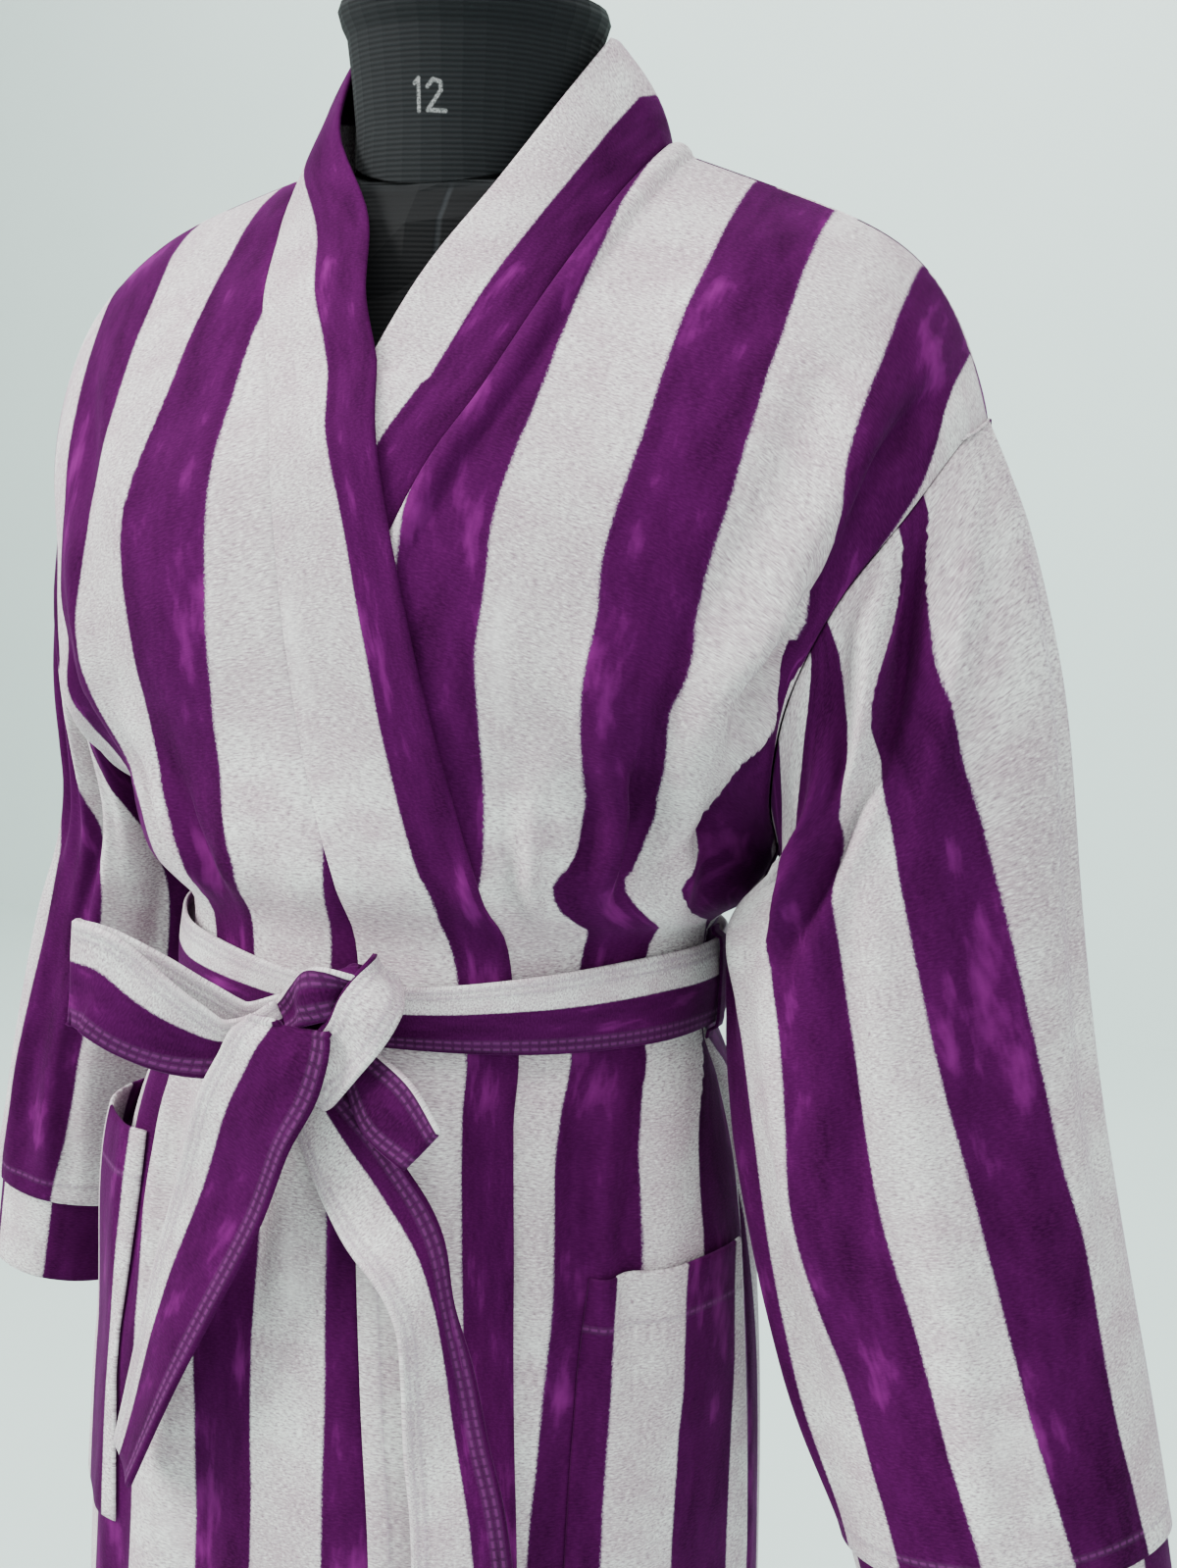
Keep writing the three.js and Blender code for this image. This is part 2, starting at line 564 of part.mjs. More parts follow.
// A cuff: the sleeve's last rings, a layer further in, and on past the hem
const CUFF_INSIDE = 16;
function cuffGrid(sleeve) {
  const last = sleeve[sleeve.length - 1];
  const before = sleeve[sleeve.length - 2];
  const centreOf = (ring) => ring.reduce((sum, p) => sum.add(p), V(0, 0, 0)).divideScalar(ring.length);
  const centre = centreOf(last);
  const way = centre.clone().sub(centreOf(before)).normalize();
  const places = [-CUFF_INSIDE, 0, CUFF_DROP / 2, CUFF_DROP];
  return places.map((place) => last.map((p) => {
    const out = p.clone().sub(centre);
    out.addScaledVector(way, -out.dot(way));
    const length = out.length();
    const narrower = LAYER + Math.max(0, place) * 0.06;
    return p.clone().addScaledVector(out.divideScalar(length), -narrower).addScaledVector(way, place);
  }));
}

// Patch pockets: points of the front, moved out, with the mouth standing open a little
const POCKETS = [
  { name: 'pocket_left',  side: 1,  inner: 112,  top: 935, gape: 2 },
  { name: 'pocket_right', side: -1, inner: -116, top: 968, gape: 11 },
];
function levelAt(z) {
  let level = 0;
  while (level < LEVEL.belt && smooth(SECTIONS, 'zMid', level) < z) level += 0.01;
  return level;
}
function pocketGrid({ side, inner, top, gape }) {
  const rows = [0, 0.16, 0.34, 0.52, 0.7, 0.88, 1];
  const steps = 8;
  return rows.map((up) => {
    const z = mix(top - POCKET_DEPTH, top, up);
    const level = levelAt(z);
    const middle = smooth(SECTIONS, 'shift', level);
    const half = smooth(SECTIONS, 'half', level);
    // the pocket's width is measured along the cloth, which turns round the side
    const start = Math.asin((side * (inner - middle)) / half);
    const turn = POCKET_WIDTH / ((half + smooth(SECTIONS, 'front', level)) / 2);
    return Array.from({ length: steps + 1 }, (_, k) => {
      const share = k / steps;
      const place = Math.min(start + turn * share, Math.PI / 2 - 0.08);
      const x = middle + side * half * Math.sin(place);
      const p = bodyPoint(level, x, 'front');
      const flat = smooth(SECTIONS, 'front', level) / half;
      const out = V(side * Math.sin(place) * flat, -Math.cos(place), 0).normalize();
      const lap = side < 0 ? lapOut(level, x) : 0;
      const open = gape * Math.sin(Math.PI * share) * step(0.4, 1, up);
      return p.addScaledVector(out, LAYER + lap + open);
    });
  });
}

// The belt round the waist: a strip on the body's section, pressed narrower towards the knot
const BELT_Z = 1053;
const BELT_OUT = WALL + 1.9;
const BELT_SHARES = [-1, -0.35, 0.35, 1];
const BELT_HALF = 20;
const BELT_HALF_AT_KNOT = 13;
const BELT_TURNS = 36;
const KNOT_X = 12;
function waistPlace(turn, out, rise) {
  const level = LEVEL.belt;
  const x = smooth(SECTIONS, 'half', level) * Math.sin(turn);
  const isFront = Math.cos(turn) > 0;
  const lap = isFront ? lapOut(level, x) * (1 - step(80, 124, x)) : 0;
  const half = smooth(SECTIONS, 'half', level) + out + lap;
  const middle = smooth(SECTIONS, isFront ? 'front' : 'back', level) + out + lap;
  return V(half * Math.sin(turn), -middle * Math.cos(turn), BELT_Z + rise);
}
function beltGrid() {
  const knotTurn = Math.asin(KNOT_X / smooth(SECTIONS, 'half', LEVEL.belt));
  return BELT_SHARES.map((share) => Array.from({ length: BELT_TURNS }, (_, k) => {
    const turn = knotTurn + (2 * Math.PI * k) / BELT_TURNS;
    const near = Math.exp(-((Math.sin((turn - knotTurn) / 2) * 3.2) ** 2));
    const half = mix(BELT_HALF, BELT_HALF_AT_KNOT, near);
    const bow = 1.5 * (1 - share ** 2);
    return waistPlace(turn, BELT_OUT + bow, half * share - 6 * near);
  }));
}

// Belt loops: a narrow strip of the cloth over the belt at each side seam. rise: from the belt's
// middle line. out: from the body's side
const LOOP_WALL = 1.4;
const LOOP_HALF = 4;
const LOOP_ROWS = [
  { rise: -27,   out: 2.1 },
  { rise: -24,   out: 2.7 },
  { rise: -21.5, out: 6.7 },
  { rise: 0,     out: 7.6 },
  { rise: 21.5,  out: 6.7 },
  { rise: 23.5,  out: 3.2 },
  { rise: 26,    out: 2.7 },
];
function loopGrid(side) {
  const half = smooth(SECTIONS, 'half', LEVEL.belt);
  return LOOP_ROWS.map(({ rise, out }) => [-LOOP_HALF, 0, LOOP_HALF].map((along) => (
    V(side * (half + out), side * along, BELT_Z + rise)
  )));
}

// A strap of the belt's own cloth along a hand-set route: x, y, z, its half width, and its lean in
// degrees, 0 when its width stands across the route in the plane of the front. upper: the way one of
// its edges faces where the strap folds over
function strapGrid(rows, splits, upper = null) {
  const total = (rows.length - 1) * splits;
  const middle = [];
  for (let n = 0; n <= total; n += 1) {
    const at = n / splits;
    middle.push({
      p: V(smooth(rows, 'x', at), smooth(rows, 'y', at), smooth(rows, 'z', at)),
      half: smooth(rows, 'half', at),
      lean: THREE.MathUtils.degToRad(smooth(rows, 'lean', at)),
    });
  }
  return middle.map(({ p, half, lean }, n) => {
    const next = middle[Math.min(total, n + 1)].p;
    const before = middle[Math.max(0, n - 1)].p;
    const way = next.clone().sub(before).normalize();
    const face = V(0, -1, 0).addScaledVector(way, way.y).normalize();
    const across = upper
      ? upper.clone().addScaledVector(way, -way.dot(upper)).normalize()
      : way.clone().cross(face);
    across.applyAxisAngle(way, lean);
    return [-1, -0.5, 0, 0.5, 1].map((share) => p.clone().addScaledVector(across, half * share));
  });
}

const BOW_LOOP = [
  { x: -14.3, y: -141, z: 1045, half: 10, lean: 0 },
  { x: -26,  y: -146, z: 1037, half: 10, lean: 0 },
  { x: -41,  y: -151, z: 1032, half: 12, lean: 0 },
  { x: -58,  y: -158, z: 1037, half: 17, lean: 0 },
  { x: -76,  y: -163, z: 1046, half: 21, lean: 0 },
  { x: -94,  y: -166, z: 1057, half: 23, lean: 0 },
  { x: -107, y: -163, z: 1059, half: 23, lean: 0 },
  { x: -110, y: -158, z: 1059, half: 23, lean: 0 },
  { x: -100, y: -153, z: 1057, half: 22, lean: 0 },
  { x: -80,  y: -148, z: 1050, half: 20, lean: 0 },
  { x: -58,  y: -142, z: 1042, half: 17, lean: 0 },
  { x: -36,  y: -136, z: 1036, half: 14, lean: 0 },
  { x: -16,  y: -130, z: 1044, half: 11, lean: 0 },
];
const TAIL_LONG = [
  { x: -6,   y: -146.2, z: 1036, half: 15, lean: 0 },
  { x: -6,   y: -149, z: 1045, half: 18, lean: 0 },
  { x: -6,   y: -154, z: 1047, half: 20, lean: 0 },
  { x: -8,   y: -158, z: 1038, half: 23, lean: 0 },
  { x: -14,  y: -159, z: 1024, half: 25, lean: 4 },
  { x: -25,  y: -160, z: 1002, half: 25, lean: 8 },
  { x: -38,  y: -157, z: 966,  half: 24, lean: 12 },
  { x: -55,  y: -156, z: 924,  half: 22, lean: 22 },
  { x: -72,  y: -155, z: 880,  half: 19, lean: 34 },
  { x: -88,  y: -154, z: 834,  half: 15, lean: 44 },
];
const TAIL_UNDER = [
  { x: -1,   y: -138.4, z: 1010, half: 15, lean: 0 },
  { x: 17,   y: -143, z: 990,  half: 20, lean: 0 },
  { x: 33,   y: -146, z: 972,  half: 20, lean: -10 },
  { x: 50,   y: -148, z: 953,  half: 17, lean: -38 },
  { x: 61,   y: -150, z: 930,  half: 14, lean: -54 },
  { x: 68,   y: -151, z: 904,  half: 15, lean: -44 },
  { x: 74,   y: -153, z: 872,  half: 17, lean: -30 },
  { x: 81,   y: -154, z: 838,  half: 20, lean: -18 },
  { x: 86,   y: -154, z: 784,  half: 23, lean: -8 },
  { x: 88,   y: -154, z: 728,  half: 25, lean: 0 },
];
const END_SHORT = [
  { x: 22,   y: -143, z: 1031, half: 10, lean: 0 },
  { x: 39,   y: -149, z: 1016, half: 16, lean: 0 },
  { x: 56,   y: -151, z: 1001, half: 12, lean: 0 },
];

// The knot: one wrap of the belt round itself, as a soft closed roll
const KNOT_LONG = 27;
const KNOT_WIDE = 19;
const KNOT_THICK = 12;
function knotGeometry() {
  const rings = 12;
  const around = 14;
  const points = [];
  const middle = V(KNOT_X, -134.5, 1047);
  const along = V(0.42, 0, 0.9).normalize();
  const face = V(0, -1, 0);
  const across = along.clone().cross(face).normalize();
  for (let i = 1; i < rings; i += 1) {
    const turn = (Math.PI * i) / rings;
    const width = Math.sin(turn) ** 0.55;
    for (let j = 0; j < around; j += 1) {
      const round = (2 * Math.PI * j) / around;
      points.push(middle.clone()
        .addScaledVector(along, -KNOT_LONG * Math.cos(turn))
        .addScaledVector(across, KNOT_WIDE * width * Math.cos(round))
        .addScaledVector(face, KNOT_THICK * width * Math.sin(round)));
    }
  }
  const first = points.push(middle.clone().addScaledVector(along, -KNOT_LONG)) - 1;
  const last = points.push(middle.clone().addScaledVector(along, KNOT_LONG)) - 1;
  const faces = [];
  for (let i = 0; i < rings - 2; i += 1) {
    for (let j = 0; j < around; j += 1) {
      const a = i * around + j;
      const b = i * around + ((j + 1) % around);
      faces.push(b, a, a + around, b, a + around, b + around);
    }
  }
  for (let j = 0; j < around; j += 1) {
    const next = (j + 1) % around;
    faces.push(first, j, next, last, (rings - 2) * around + next, (rings - 2) * around + j);
  }
  return closedMesh(points, faces);
}

// Dress form: rings under the robe's own sections, closed below, and a ring at the neck above
const FORM_AROUND = 36;
function formRing({ at, half, slack, rim = 0 }) {
  const level = LEVEL[at];
  return Array.from({ length: FORM_AROUND }, (_, k) => {
    const turn = (2 * Math.PI * k) / FORM_AROUND;
    const sin = Math.sin(turn);
    const cos = Math.cos(turn);
    const x = half * Math.sign(sin) * Math.abs(sin) ** 0.85;
    const robe = bodyPoint(level, x, cos >= 0 ? 'front' : 'back', true);
    const reach = Math.max(RIDGE, Math.abs(robe.y - FORM_CENTRE_Y) - slack);
    const y = FORM_CENTRE_Y - Math.sign(cos) * reach * Math.abs(cos) ** 0.6;
    const neck = NECK_SEAM.half + rim;
    if (rim > 0 && Math.abs(x) < neck) {
      const place = neckPlace(x / neck, cos, rim);
      if (Math.abs(place.y) > Math.abs(y)) return place;
    }
    // the ridge keeps lower beside the neck, where the band's seam is thick
    const low = at === 'shoulder' ? BESIDE_NECK * (1 - step(92, 112, Math.abs(x))) : 0;
    return V(x, y, robe.z - slack - low);
  });
}
// A place on the seam between neck and torso, or so far outside it and below it
function neckPlace(sin, side, outside) {
  const cos = Math.sqrt(Math.max(0, 1 - sin * sin));
  const depth = side > 0 ? -(NECK_SEAM.front + outside) : NECK_SEAM.back + outside;
  const end = side > 0 ? NECK_SEAM.zFront : NECK_SEAM.zBack;
  const z = mix(NECK_SEAM.zSide, end, cos * cos) - outside * 1.3;
  return V((NECK_SEAM.half + outside) * sin, depth * cos, z);
}
// A ring on that seam. crowded: its points gather at the sides, where the shoulder ridges start
function neckRing(outside = 0, crowded = false) {
  const ridge = FORM_RINGS[0].half;
  const edge = NECK_SEAM.half + outside;
  return Array.from({ length: FORM_AROUND }, (_, k) => {
    const turn = (2 * Math.PI * k) / FORM_AROUND;
    const sin = Math.sin(turn);
    if (!crowded) return neckPlace(sin, Math.cos(turn), outside);
    const x = ridge * Math.abs(sin) ** 0.85;
    const share = x < 0.94 * edge ? x / edge : mix(0.94, 1, (x - 0.94 * edge) / (ridge - 0.94 * edge));
    return neckPlace(Math.sign(sin) * share, Math.cos(turn), outside);
  });
}
// A closed body through rings, the first one lowest
function ringBody(rings) {
  const around = rings[0].length;
  const points = rings.flat();
  const centre = (ring) => ring.reduce((sum, p) => sum.add(p), V(0, 0, 0)).divideScalar(around);
  const low = points.push(centre(rings[0])) - 1;
  const high = points.push(centre(rings[rings.length - 1])) - 1;
  const faces = [];
  for (let i = 0; i < rings.length - 1; i += 1) {
    for (let j = 0; j < around; j += 1) {
      const a = i * around + j;
      const b = i * around + ((j + 1) % around);
      faces.push(a, b, b + around, a, b + around, a + around);
    }
  }
  const last = (rings.length - 1) * around;
  for (let j = 0; j < around; j += 1) {
    const next = (j + 1) % around;
    faces.push(low, next, j, high, last + j, last + next);
  }
  return closedMesh(points, faces);
}

// A round piece from a profile of radius and height, turned to stand upright
function turned(profile, segments = 36) {
  const points = profile.map(([radius, z]) => new THREE.Vector2(radius, z));
  const geometry = new THREE.LatheGeometry(points, segments);
  geometry.rotateX(Math.PI / 2);
  return geometry;
}

const group = new THREE.Group();
function addMesh(name, geometry, material, x = 0, y = 0, z = 0) {
  geometry.deleteAttribute('normal');
  geometry.deleteAttribute('uv');
  const mesh = new THREE.Mesh(mergeVertices(geometry, 1e-4), material);
  mesh.name = name;
  mesh.position.set(x, y, z);
  group.add(mesh);
}

// The robe's sewn sheets
const leftSleeve = sleeveGrid(1, LEFT_SLEEVE, LEFT_SLEEVE_FOLDS);
const rightSleeve = sleeveGrid(-1, RIGHT_SLEEVE, RIGHT_SLEEVE_FOLDS);
const robe = 'robe';
const sheets = [
  new Sheet('back', light, backGrid(), { group: robe, sewn: ['left', 'right', 'last'], turned: true }),
  new Sheet('front_left', purple, frontGrid(1, LEFT_EDGES), {
    group: robe, sewn: ['left', 'right', 'last'],
  }),
  new Sheet('front_right', purple, frontGrid(-1, RIGHT_EDGES), {
    group: robe, sewn: ['left', 'right', 'last'], turned: true,
  }),
  new Sheet('neckband_left', light, bandGrid(1, LEFT_EDGES, LEFT_STAND), {
    group: robe, sewn: ['left', 'last'], turned: true,
  }),
  new Sheet('neckband_right', light, bandGrid(-1, RIGHT_EDGES, RIGHT_STAND), {
    group: robe, sewn: ['left', 'last'],
  }),
  new Sheet('sleeve_left', light, leftSleeve, { group: robe, round: true, sewn: ['first'], turned: true }),
  new Sheet('sleeve_right', light, rightSleeve, { group: robe, round: true, sewn: ['first'] }),
  new Sheet('cuff_left', purple, cuffGrid(leftSleeve), { round: true, turned: true }),
  new Sheet('cuff_right', purple, cuffGrid(rightSleeve), { round: true }),
  new Sheet('pocket_left', purple, pocketGrid(POCKETS[0])),
  new Sheet('pocket_right', purple, pocketGrid(POCKETS[1]), { turned: true }),
  new Sheet('belt_waist', purple, beltGrid(), { round: true }),
  new Sheet('belt_loop_left', purple, loopGrid(1), { wall: LOOP_WALL }),
  new Sheet('belt_loop_right', purple, loopGrid(-1), { wall: LOOP_WALL }),
  new Sheet('belt_bow', purple, strapGrid(BOW_LOOP, 2, V(0, 0, 1)), { wall: 3 }),
  new Sheet('belt_tail_long', light, strapGrid(TAIL_LONG, 2, V(-1, 0, 0)), { wall: 3 }),
  new Sheet('belt_tail_under', light, strapGrid(TAIL_UNDER, 2), { wall: 3 }),
  new Sheet('belt_end_short', purple, strapGrid(END_SHORT, 2), { wall: 3 }),
];
const normals = sharedNormals(sheets);
for (const sheet of sheets) addMesh(sheet.name, wallGeometry(sheet, normals), sheet.material);

addMesh('belt_knot', knotGeometry(), purple);

// The dress form and its stand
addMesh('form_torso', ringBody([
  ...[...FORM_RINGS].reverse().map(formRing),
  neckRing(3, true),
  neckRing(),
]), cover);
addMesh('form_neck', ringBody([
  neckRing().map((p) => p.add(V(0, 0, SEAM_GAP))),
  ...NECK_PROFILE.map(({ z, radius }) => Array.from({ length: FORM_AROUND }, (_, k) => {
    const turn = (2 * Math.PI * k) / FORM_AROUND;
    return V(radius * Math.sin(turn), NECK_Y - radius * Math.cos(turn), z);
  })),
]), cover);
addMesh('form_cap', turned([
  [0, CAP.z], [CAP.radius, CAP.z], [CAP.radius, CAP.z + CAP.height - CAP.edge],
  [CAP.radius - CAP.edge, CAP.z + CAP.height], [CAP.knob, CAP.z + CAP.height + 1],
  [CAP.knob, CAP.z + CAP.height + CAP.knobHeight - 5], [0, CAP.z + CAP.height + CAP.knobHeight],
]), steel, 0, NECK_Y, 0);
const poleLow = FOOT.hubHeight + SEAM_GAP;
const lowestRing = FORM_RINGS[FORM_RINGS.length - 1];
const poleHigh = SECTIONS[LEVEL[lowestRing.at]].zMid - lowestRing.slack - SEAM_GAP;
addMesh('stand_pole', turned([
  [0, poleLow], [POLE.radius, poleLow], [POLE.radius, poleHigh - POLE.collarHeight],
  [POLE.collarRadius, poleHigh - POLE.collarHeight], [POLE.collarRadius, poleHigh], [0, poleHigh],
]), steel);
addMesh('stand_base', turned([
  [0, 0], [FOOT.radius, 0], [FOOT.radius, FOOT.height - FOOT.rim], [FOOT.radius - FOOT.rim, FOOT.height],
  [FOOT.hub, FOOT.height + 6], [POLE.radius + 8, FOOT.hubHeight], [0, FOOT.hubHeight],
], 48), iron);

export default group;
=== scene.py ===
# Striped velvet kimono robe on a dress form: its looks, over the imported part's frame
import math
import bpy
import numpy as np
from mathutils import Matrix, Vector


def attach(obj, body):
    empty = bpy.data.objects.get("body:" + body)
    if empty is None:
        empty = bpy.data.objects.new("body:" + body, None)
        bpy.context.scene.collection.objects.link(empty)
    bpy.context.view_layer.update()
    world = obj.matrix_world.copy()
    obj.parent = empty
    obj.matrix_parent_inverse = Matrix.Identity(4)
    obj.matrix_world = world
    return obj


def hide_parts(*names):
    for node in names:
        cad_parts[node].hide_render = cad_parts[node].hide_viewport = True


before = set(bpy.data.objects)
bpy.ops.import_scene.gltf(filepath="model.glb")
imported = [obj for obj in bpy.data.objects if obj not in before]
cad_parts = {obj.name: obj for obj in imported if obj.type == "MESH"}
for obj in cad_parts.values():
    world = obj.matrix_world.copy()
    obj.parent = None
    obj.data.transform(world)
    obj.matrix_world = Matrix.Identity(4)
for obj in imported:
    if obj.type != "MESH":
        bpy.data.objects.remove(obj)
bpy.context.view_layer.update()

# Sizes in millimetres, the same as the part's own
MM = 0.001
EDGE_ROUND = 0.4  # how far the cut edges bulge, in walls
WALL = 2.0
LAYER = WALL + 0.7
LAP = WALL + 1.6
SECTIONS = [
    # name, z in the middle, z at the side, half width, front, back, shift
    ("hem", 165, 165, 184, 150, 148, -6), ("shin", 330, 330, 181, 148, 146, -7),
    ("knee", 500, 500, 178, 146, 143, -8), ("thigh", 660, 660, 175, 143, 140, -8),
    ("pocket_low", 790, 790, 172, 140, 136, -8), ("hip", 880, 880, 167, 136, 131, -8),
    ("skirt_top", 960, 960, 156, 129, 124, -6), ("under_belt", 1004, 1002, 143, 122, 116, -3),
    ("belt_low", 1029, 1027, 131, 114, 107, 0), ("belt", 1053, 1051, 131, 114, 107, 0),
    ("belt_high", 1082, 1079, 131, 114, 107, 0), ("blouse", 1110, 1094, 150, 126, 119, 0),
    ("underarm", 1160, 1116, 161, 130, 126, 0), ("side", 1222, 1150, 172, 134, 131, 3),
    ("bust", 1290, 1192, 178, 129, 130, 8), ("chest", 1329, 1235, 190, 114, 122, 14),
    ("collar", 1373, 1272, 210, 88, 106, 16), ("yoke", 1415, 1300, 224, 50, 78, 15),
    ("slope", 1438, 1309, 228, 24, 42, 15), ("shoulder", 1458, 1314, 230, -4, 4, 15),
]
LEVEL = {row[0]: i for i, row in enumerate(SECTIONS)}
TOP = LEVEL["shoulder"]
COLUMN = {name: np.array([row[k + 1] for row in SECTIONS], float)
          for k, name in enumerate(("z_mid", "z_side", "half", "front", "back", "shift"))}
ARMHOLE = [  # section, front, back
    ("blouse", 0, 0), ("underarm", 0, 0), ("side", 62, 50), ("bust", 82, 66), ("chest", 76, 62),
    ("collar", 54, 46), ("yoke", 27, 24), ("slope", 10, 13), ("shoulder", -4, 4),
]
RIGHT_EDGES = [  # section, seam, free edge
    ("hem", 35, 98), ("knee", 34, 97), ("pocket_low", 32, 94), ("hip", 24, 88), ("skirt_top", 16, 82),
    ("under_belt", 12, 78), ("belt", 9, 74), ("blouse", 0, 65), ("underarm", -13, 52), ("side", -23, 37),
    ("bust", -33, 18), ("chest", -43, 9), ("collar", -62, -3), ("yoke", -78, -18), ("slope", -86, -51),
    ("shoulder", -90, -63),
]
LEFT_EDGES = [
    ("hem", 4, -60), ("hip", 2, -62), ("belt", 0, -64), ("blouse", 1, -63), ("underarm", 3, -58),
    ("side", 10, -42), ("bust", 36, -14), ("chest", 56, 3), ("collar", 72, 21), ("yoke", 83, 40),
    ("slope", 88, 57), ("shoulder", 92, 67),
]
RIGHT_STAND = [("collar", -102, 1356), ("yoke", -77, 1394), ("slope", -43, 1434), ("shoulder", -8, 1470)]
LEFT_STAND = [("collar", -95, 1369), ("yoke", -64, 1410), ("slope", -37, 1447), ("shoulder", -6, 1478)]
NECK_SEAM_Y, NECK_SEAM_Z, NECK_FREE_Y, NECK_FREE_Z = 76, 1430, 60, 1483
FRONT_FOLDS = [  # top, low, x at the top, x below, half width, rise
    (1230, 1082, 124, 110, 16, 7), (1210, 1082, 148, 126, 13, 8), (1180, 1082, 96, 94, 11, 4),
    (1180, 1082, -120, -96, 15, 5), (1200, 1082, -150, -120, 12, 6), (1030, 166, 104, 128, 22, 6),
    (1030, 166, 124, 160, 15, 7), (1030, 166, -70, -82, 22, 6), (1030, 166, -112, -140, 18, 7),
]
BACK_FOLDS = [
    (1200, 1082, 10, 4, 16, 6), (1210, 1082, 84, 62, 16, 7), (1205, 1082, -80, -60, 15, 7),
    (1030, 166, 48, 70, 24, 8), (1030, 166, -52, -84, 24, 8), (1030, 166, 104, 140, 18, 7),
    (1030, 166, -108, -146, 18, 7),
]
LEFT_SLEEVE = [  # x, y, z, tilt, half, depth, own
    (217, -3, 1186, 52, 92, 78, 0.45), (221, -6, 1152, 34, 79, 74, 0.85), (224, -10, 1092, 17, 74, 72, 1),
    (236, -16, 1022, 11, 74, 72, 1), (254, -21, 950, 10, 73, 72, 1), (273, -26, 884, 9, 71, 72, 1),
    (287, -29, 833, 8, 70, 71, 1),
]
RIGHT_SLEEVE = [
    (193, 18, 1190, 54, 56, 70, 0.4), (196, 38, 1154, 34, 40, 68, 0.85), (196, 62, 1096, 14, 44, 75, 1),
    (210, 70, 1036, 8, 52, 81, 1), (224, 70, 970, 8, 52, 81, 1), (231, 69, 925, 8, 52, 80, 1),
    (236, 67, 892, 8, 52, 79, 1),
]
LEFT_SLEEVE_FOLDS = [  # turn, spread, rise, from, to
    (62, 20, 9, 0.15, 0.62), (24, 18, 6, 0.2, 0.8), (186, 26, 4, 0.3, 1), (262, 24, 7, 0.15, 0.8),
]
RIGHT_SLEEVE_FOLDS = [(130, 22, 6, 0.2, 0.9), (78, 18, 7, 0.2, 0.8), (250, 24, 8, 0.15, 0.8)]


# Small tools
def step(a, b, x):
    t = np.clip((np.asarray(x, float) - a) / (b - a), 0, 1)
    return t * t * (3 - 2 * t)


def mix(a, b, t):
    return a + (b - a) * t


def curve(values, at):
    """A smooth value between rows of a table."""
    last = len(values) - 1
    i = int(min(last - 1, max(0, math.floor(at))))
    t = at - i
    p1, p2 = np.asarray(values[i], float), np.asarray(values[i + 1], float)
    p0 = np.asarray(values[i - 1], float) if i > 0 else 2 * p1 - p2
    p3 = np.asarray(values[i + 2], float) if i + 2 <= last else 2 * p2 - p1
    m1, m2 = (p2 - p0) / 2, (p3 - p1) / 2
    return ((2 * t**3 - 3 * t**2 + 1) * p1 + (t**3 - 2 * t**2 + t) * m1
            + (3 * t**2 - 2 * t**3) * p2 + (t**3 - t**2) * m2)


def edge_at(rows, column, level):
    """A value from a table whose rows name their section, at a level."""
    i = 0
    while i < len(rows) - 2 and LEVEL[rows[i + 1][0]] <= level:
        i += 1
    a, b = LEVEL[rows[i][0]], LEVEL[rows[i + 1][0]]
    return float(curve([row[column] for row in rows], i + (level - a) / (b - a)))


def section(name, level):
    return float(curve(COLUMN[name], level))


def fold_rise(x, z, face):
    rise = np.zeros_like(x)
    for top, low, x_top, x_low, width, height in FRONT_FOLDS if face == "front" else BACK_FOLDS:
        down = (top - z) / (top - low)
        away = (x - mix(x_top, x_low, down)) / width
        ends = np.minimum(1, 5 * down) * np.minimum(1, 12 * (1 - down) + 0.3)
        rise += np.where((down >= 0) & (down <= 1), height * np.exp(-away * away) * ends, 0)
    return rise


def body_points(level, x, face, relief=None):
    """Points of the body's outer surface at a level, x across from the middle."""
    x = np.asarray(x, float)
    half, shift = section("half", level), section("shift", level)
    across = np.minimum(1, np.abs(x - shift) / half)
    round_ = np.sqrt(np.maximum(0, 1 - across**2))
    front = face == "front"
    middle = section("front" if front else "back", level)
    end = 0 if level <= LEVEL["underarm"] else edge_at(ARMHOLE, 1 if front else 2, level)
    fall = 0.54 * across + 0.46 * across**12
    z = mix(section("z_mid", level), section("z_side", level), fall)
    depth = mix(end, middle, round_) + fold_rise(x, z, face) * step(0, 0.35, round_)
    p = np.stack([x, -depth if front else depth, z], -1)
    if relief is not None:
        sign = np.sign(x - shift)
        out = np.stack([sign * across * middle / half, (-1 if front else 1) * round_, 0 * z], -1)
        out /= np.linalg.norm(out, axis=-1, keepdims=True) + 1e-9
        p = p + out * relief(x, z)[..., None]
    return p


def lap_out(level, x):
    return LAP * step(-125, -80, x) * (1 - step(LEVEL["collar"], LEVEL["yoke"], level))


def across_places(inner, level, side, steps):
    middle, half = section("shift", level), section("half", level)
    start = math.asin(max(-1, min(1, side * (inner - middle) / half)))
    return middle + side * half * np.sin(mix(start, math.pi / 2, steps))


def running(points):
    """Lengths along a line of points."""
    return np.concatenate([[0], np.cumsum(np.linalg.norm(np.diff(points, axis=0), axis=1))])


def levels_between(first, last, spacing):
    """Levels whose rows lie about that far apart."""
    fine = np.linspace(first, last, 1200)
    z = np.array([body_points(f, [0.0], "front")[0] for f in fine])
    length = running(z)
    count = max(2, int(round(length[-1] / spacing)) + 1)
    return np.interp(np.linspace(0, length[-1], count), length, fine)


def spread(count, seam_start=True, seam=0.006):
    """Shares from 0 to 1, with two more close to each sewn edge."""
    base = list(np.linspace(0, 1, count)) + [1 - seam, 1 - 2.4 * seam]
    if seam_start:
        base += [seam, 2.4 * seam]
    return np.array(sorted(base))


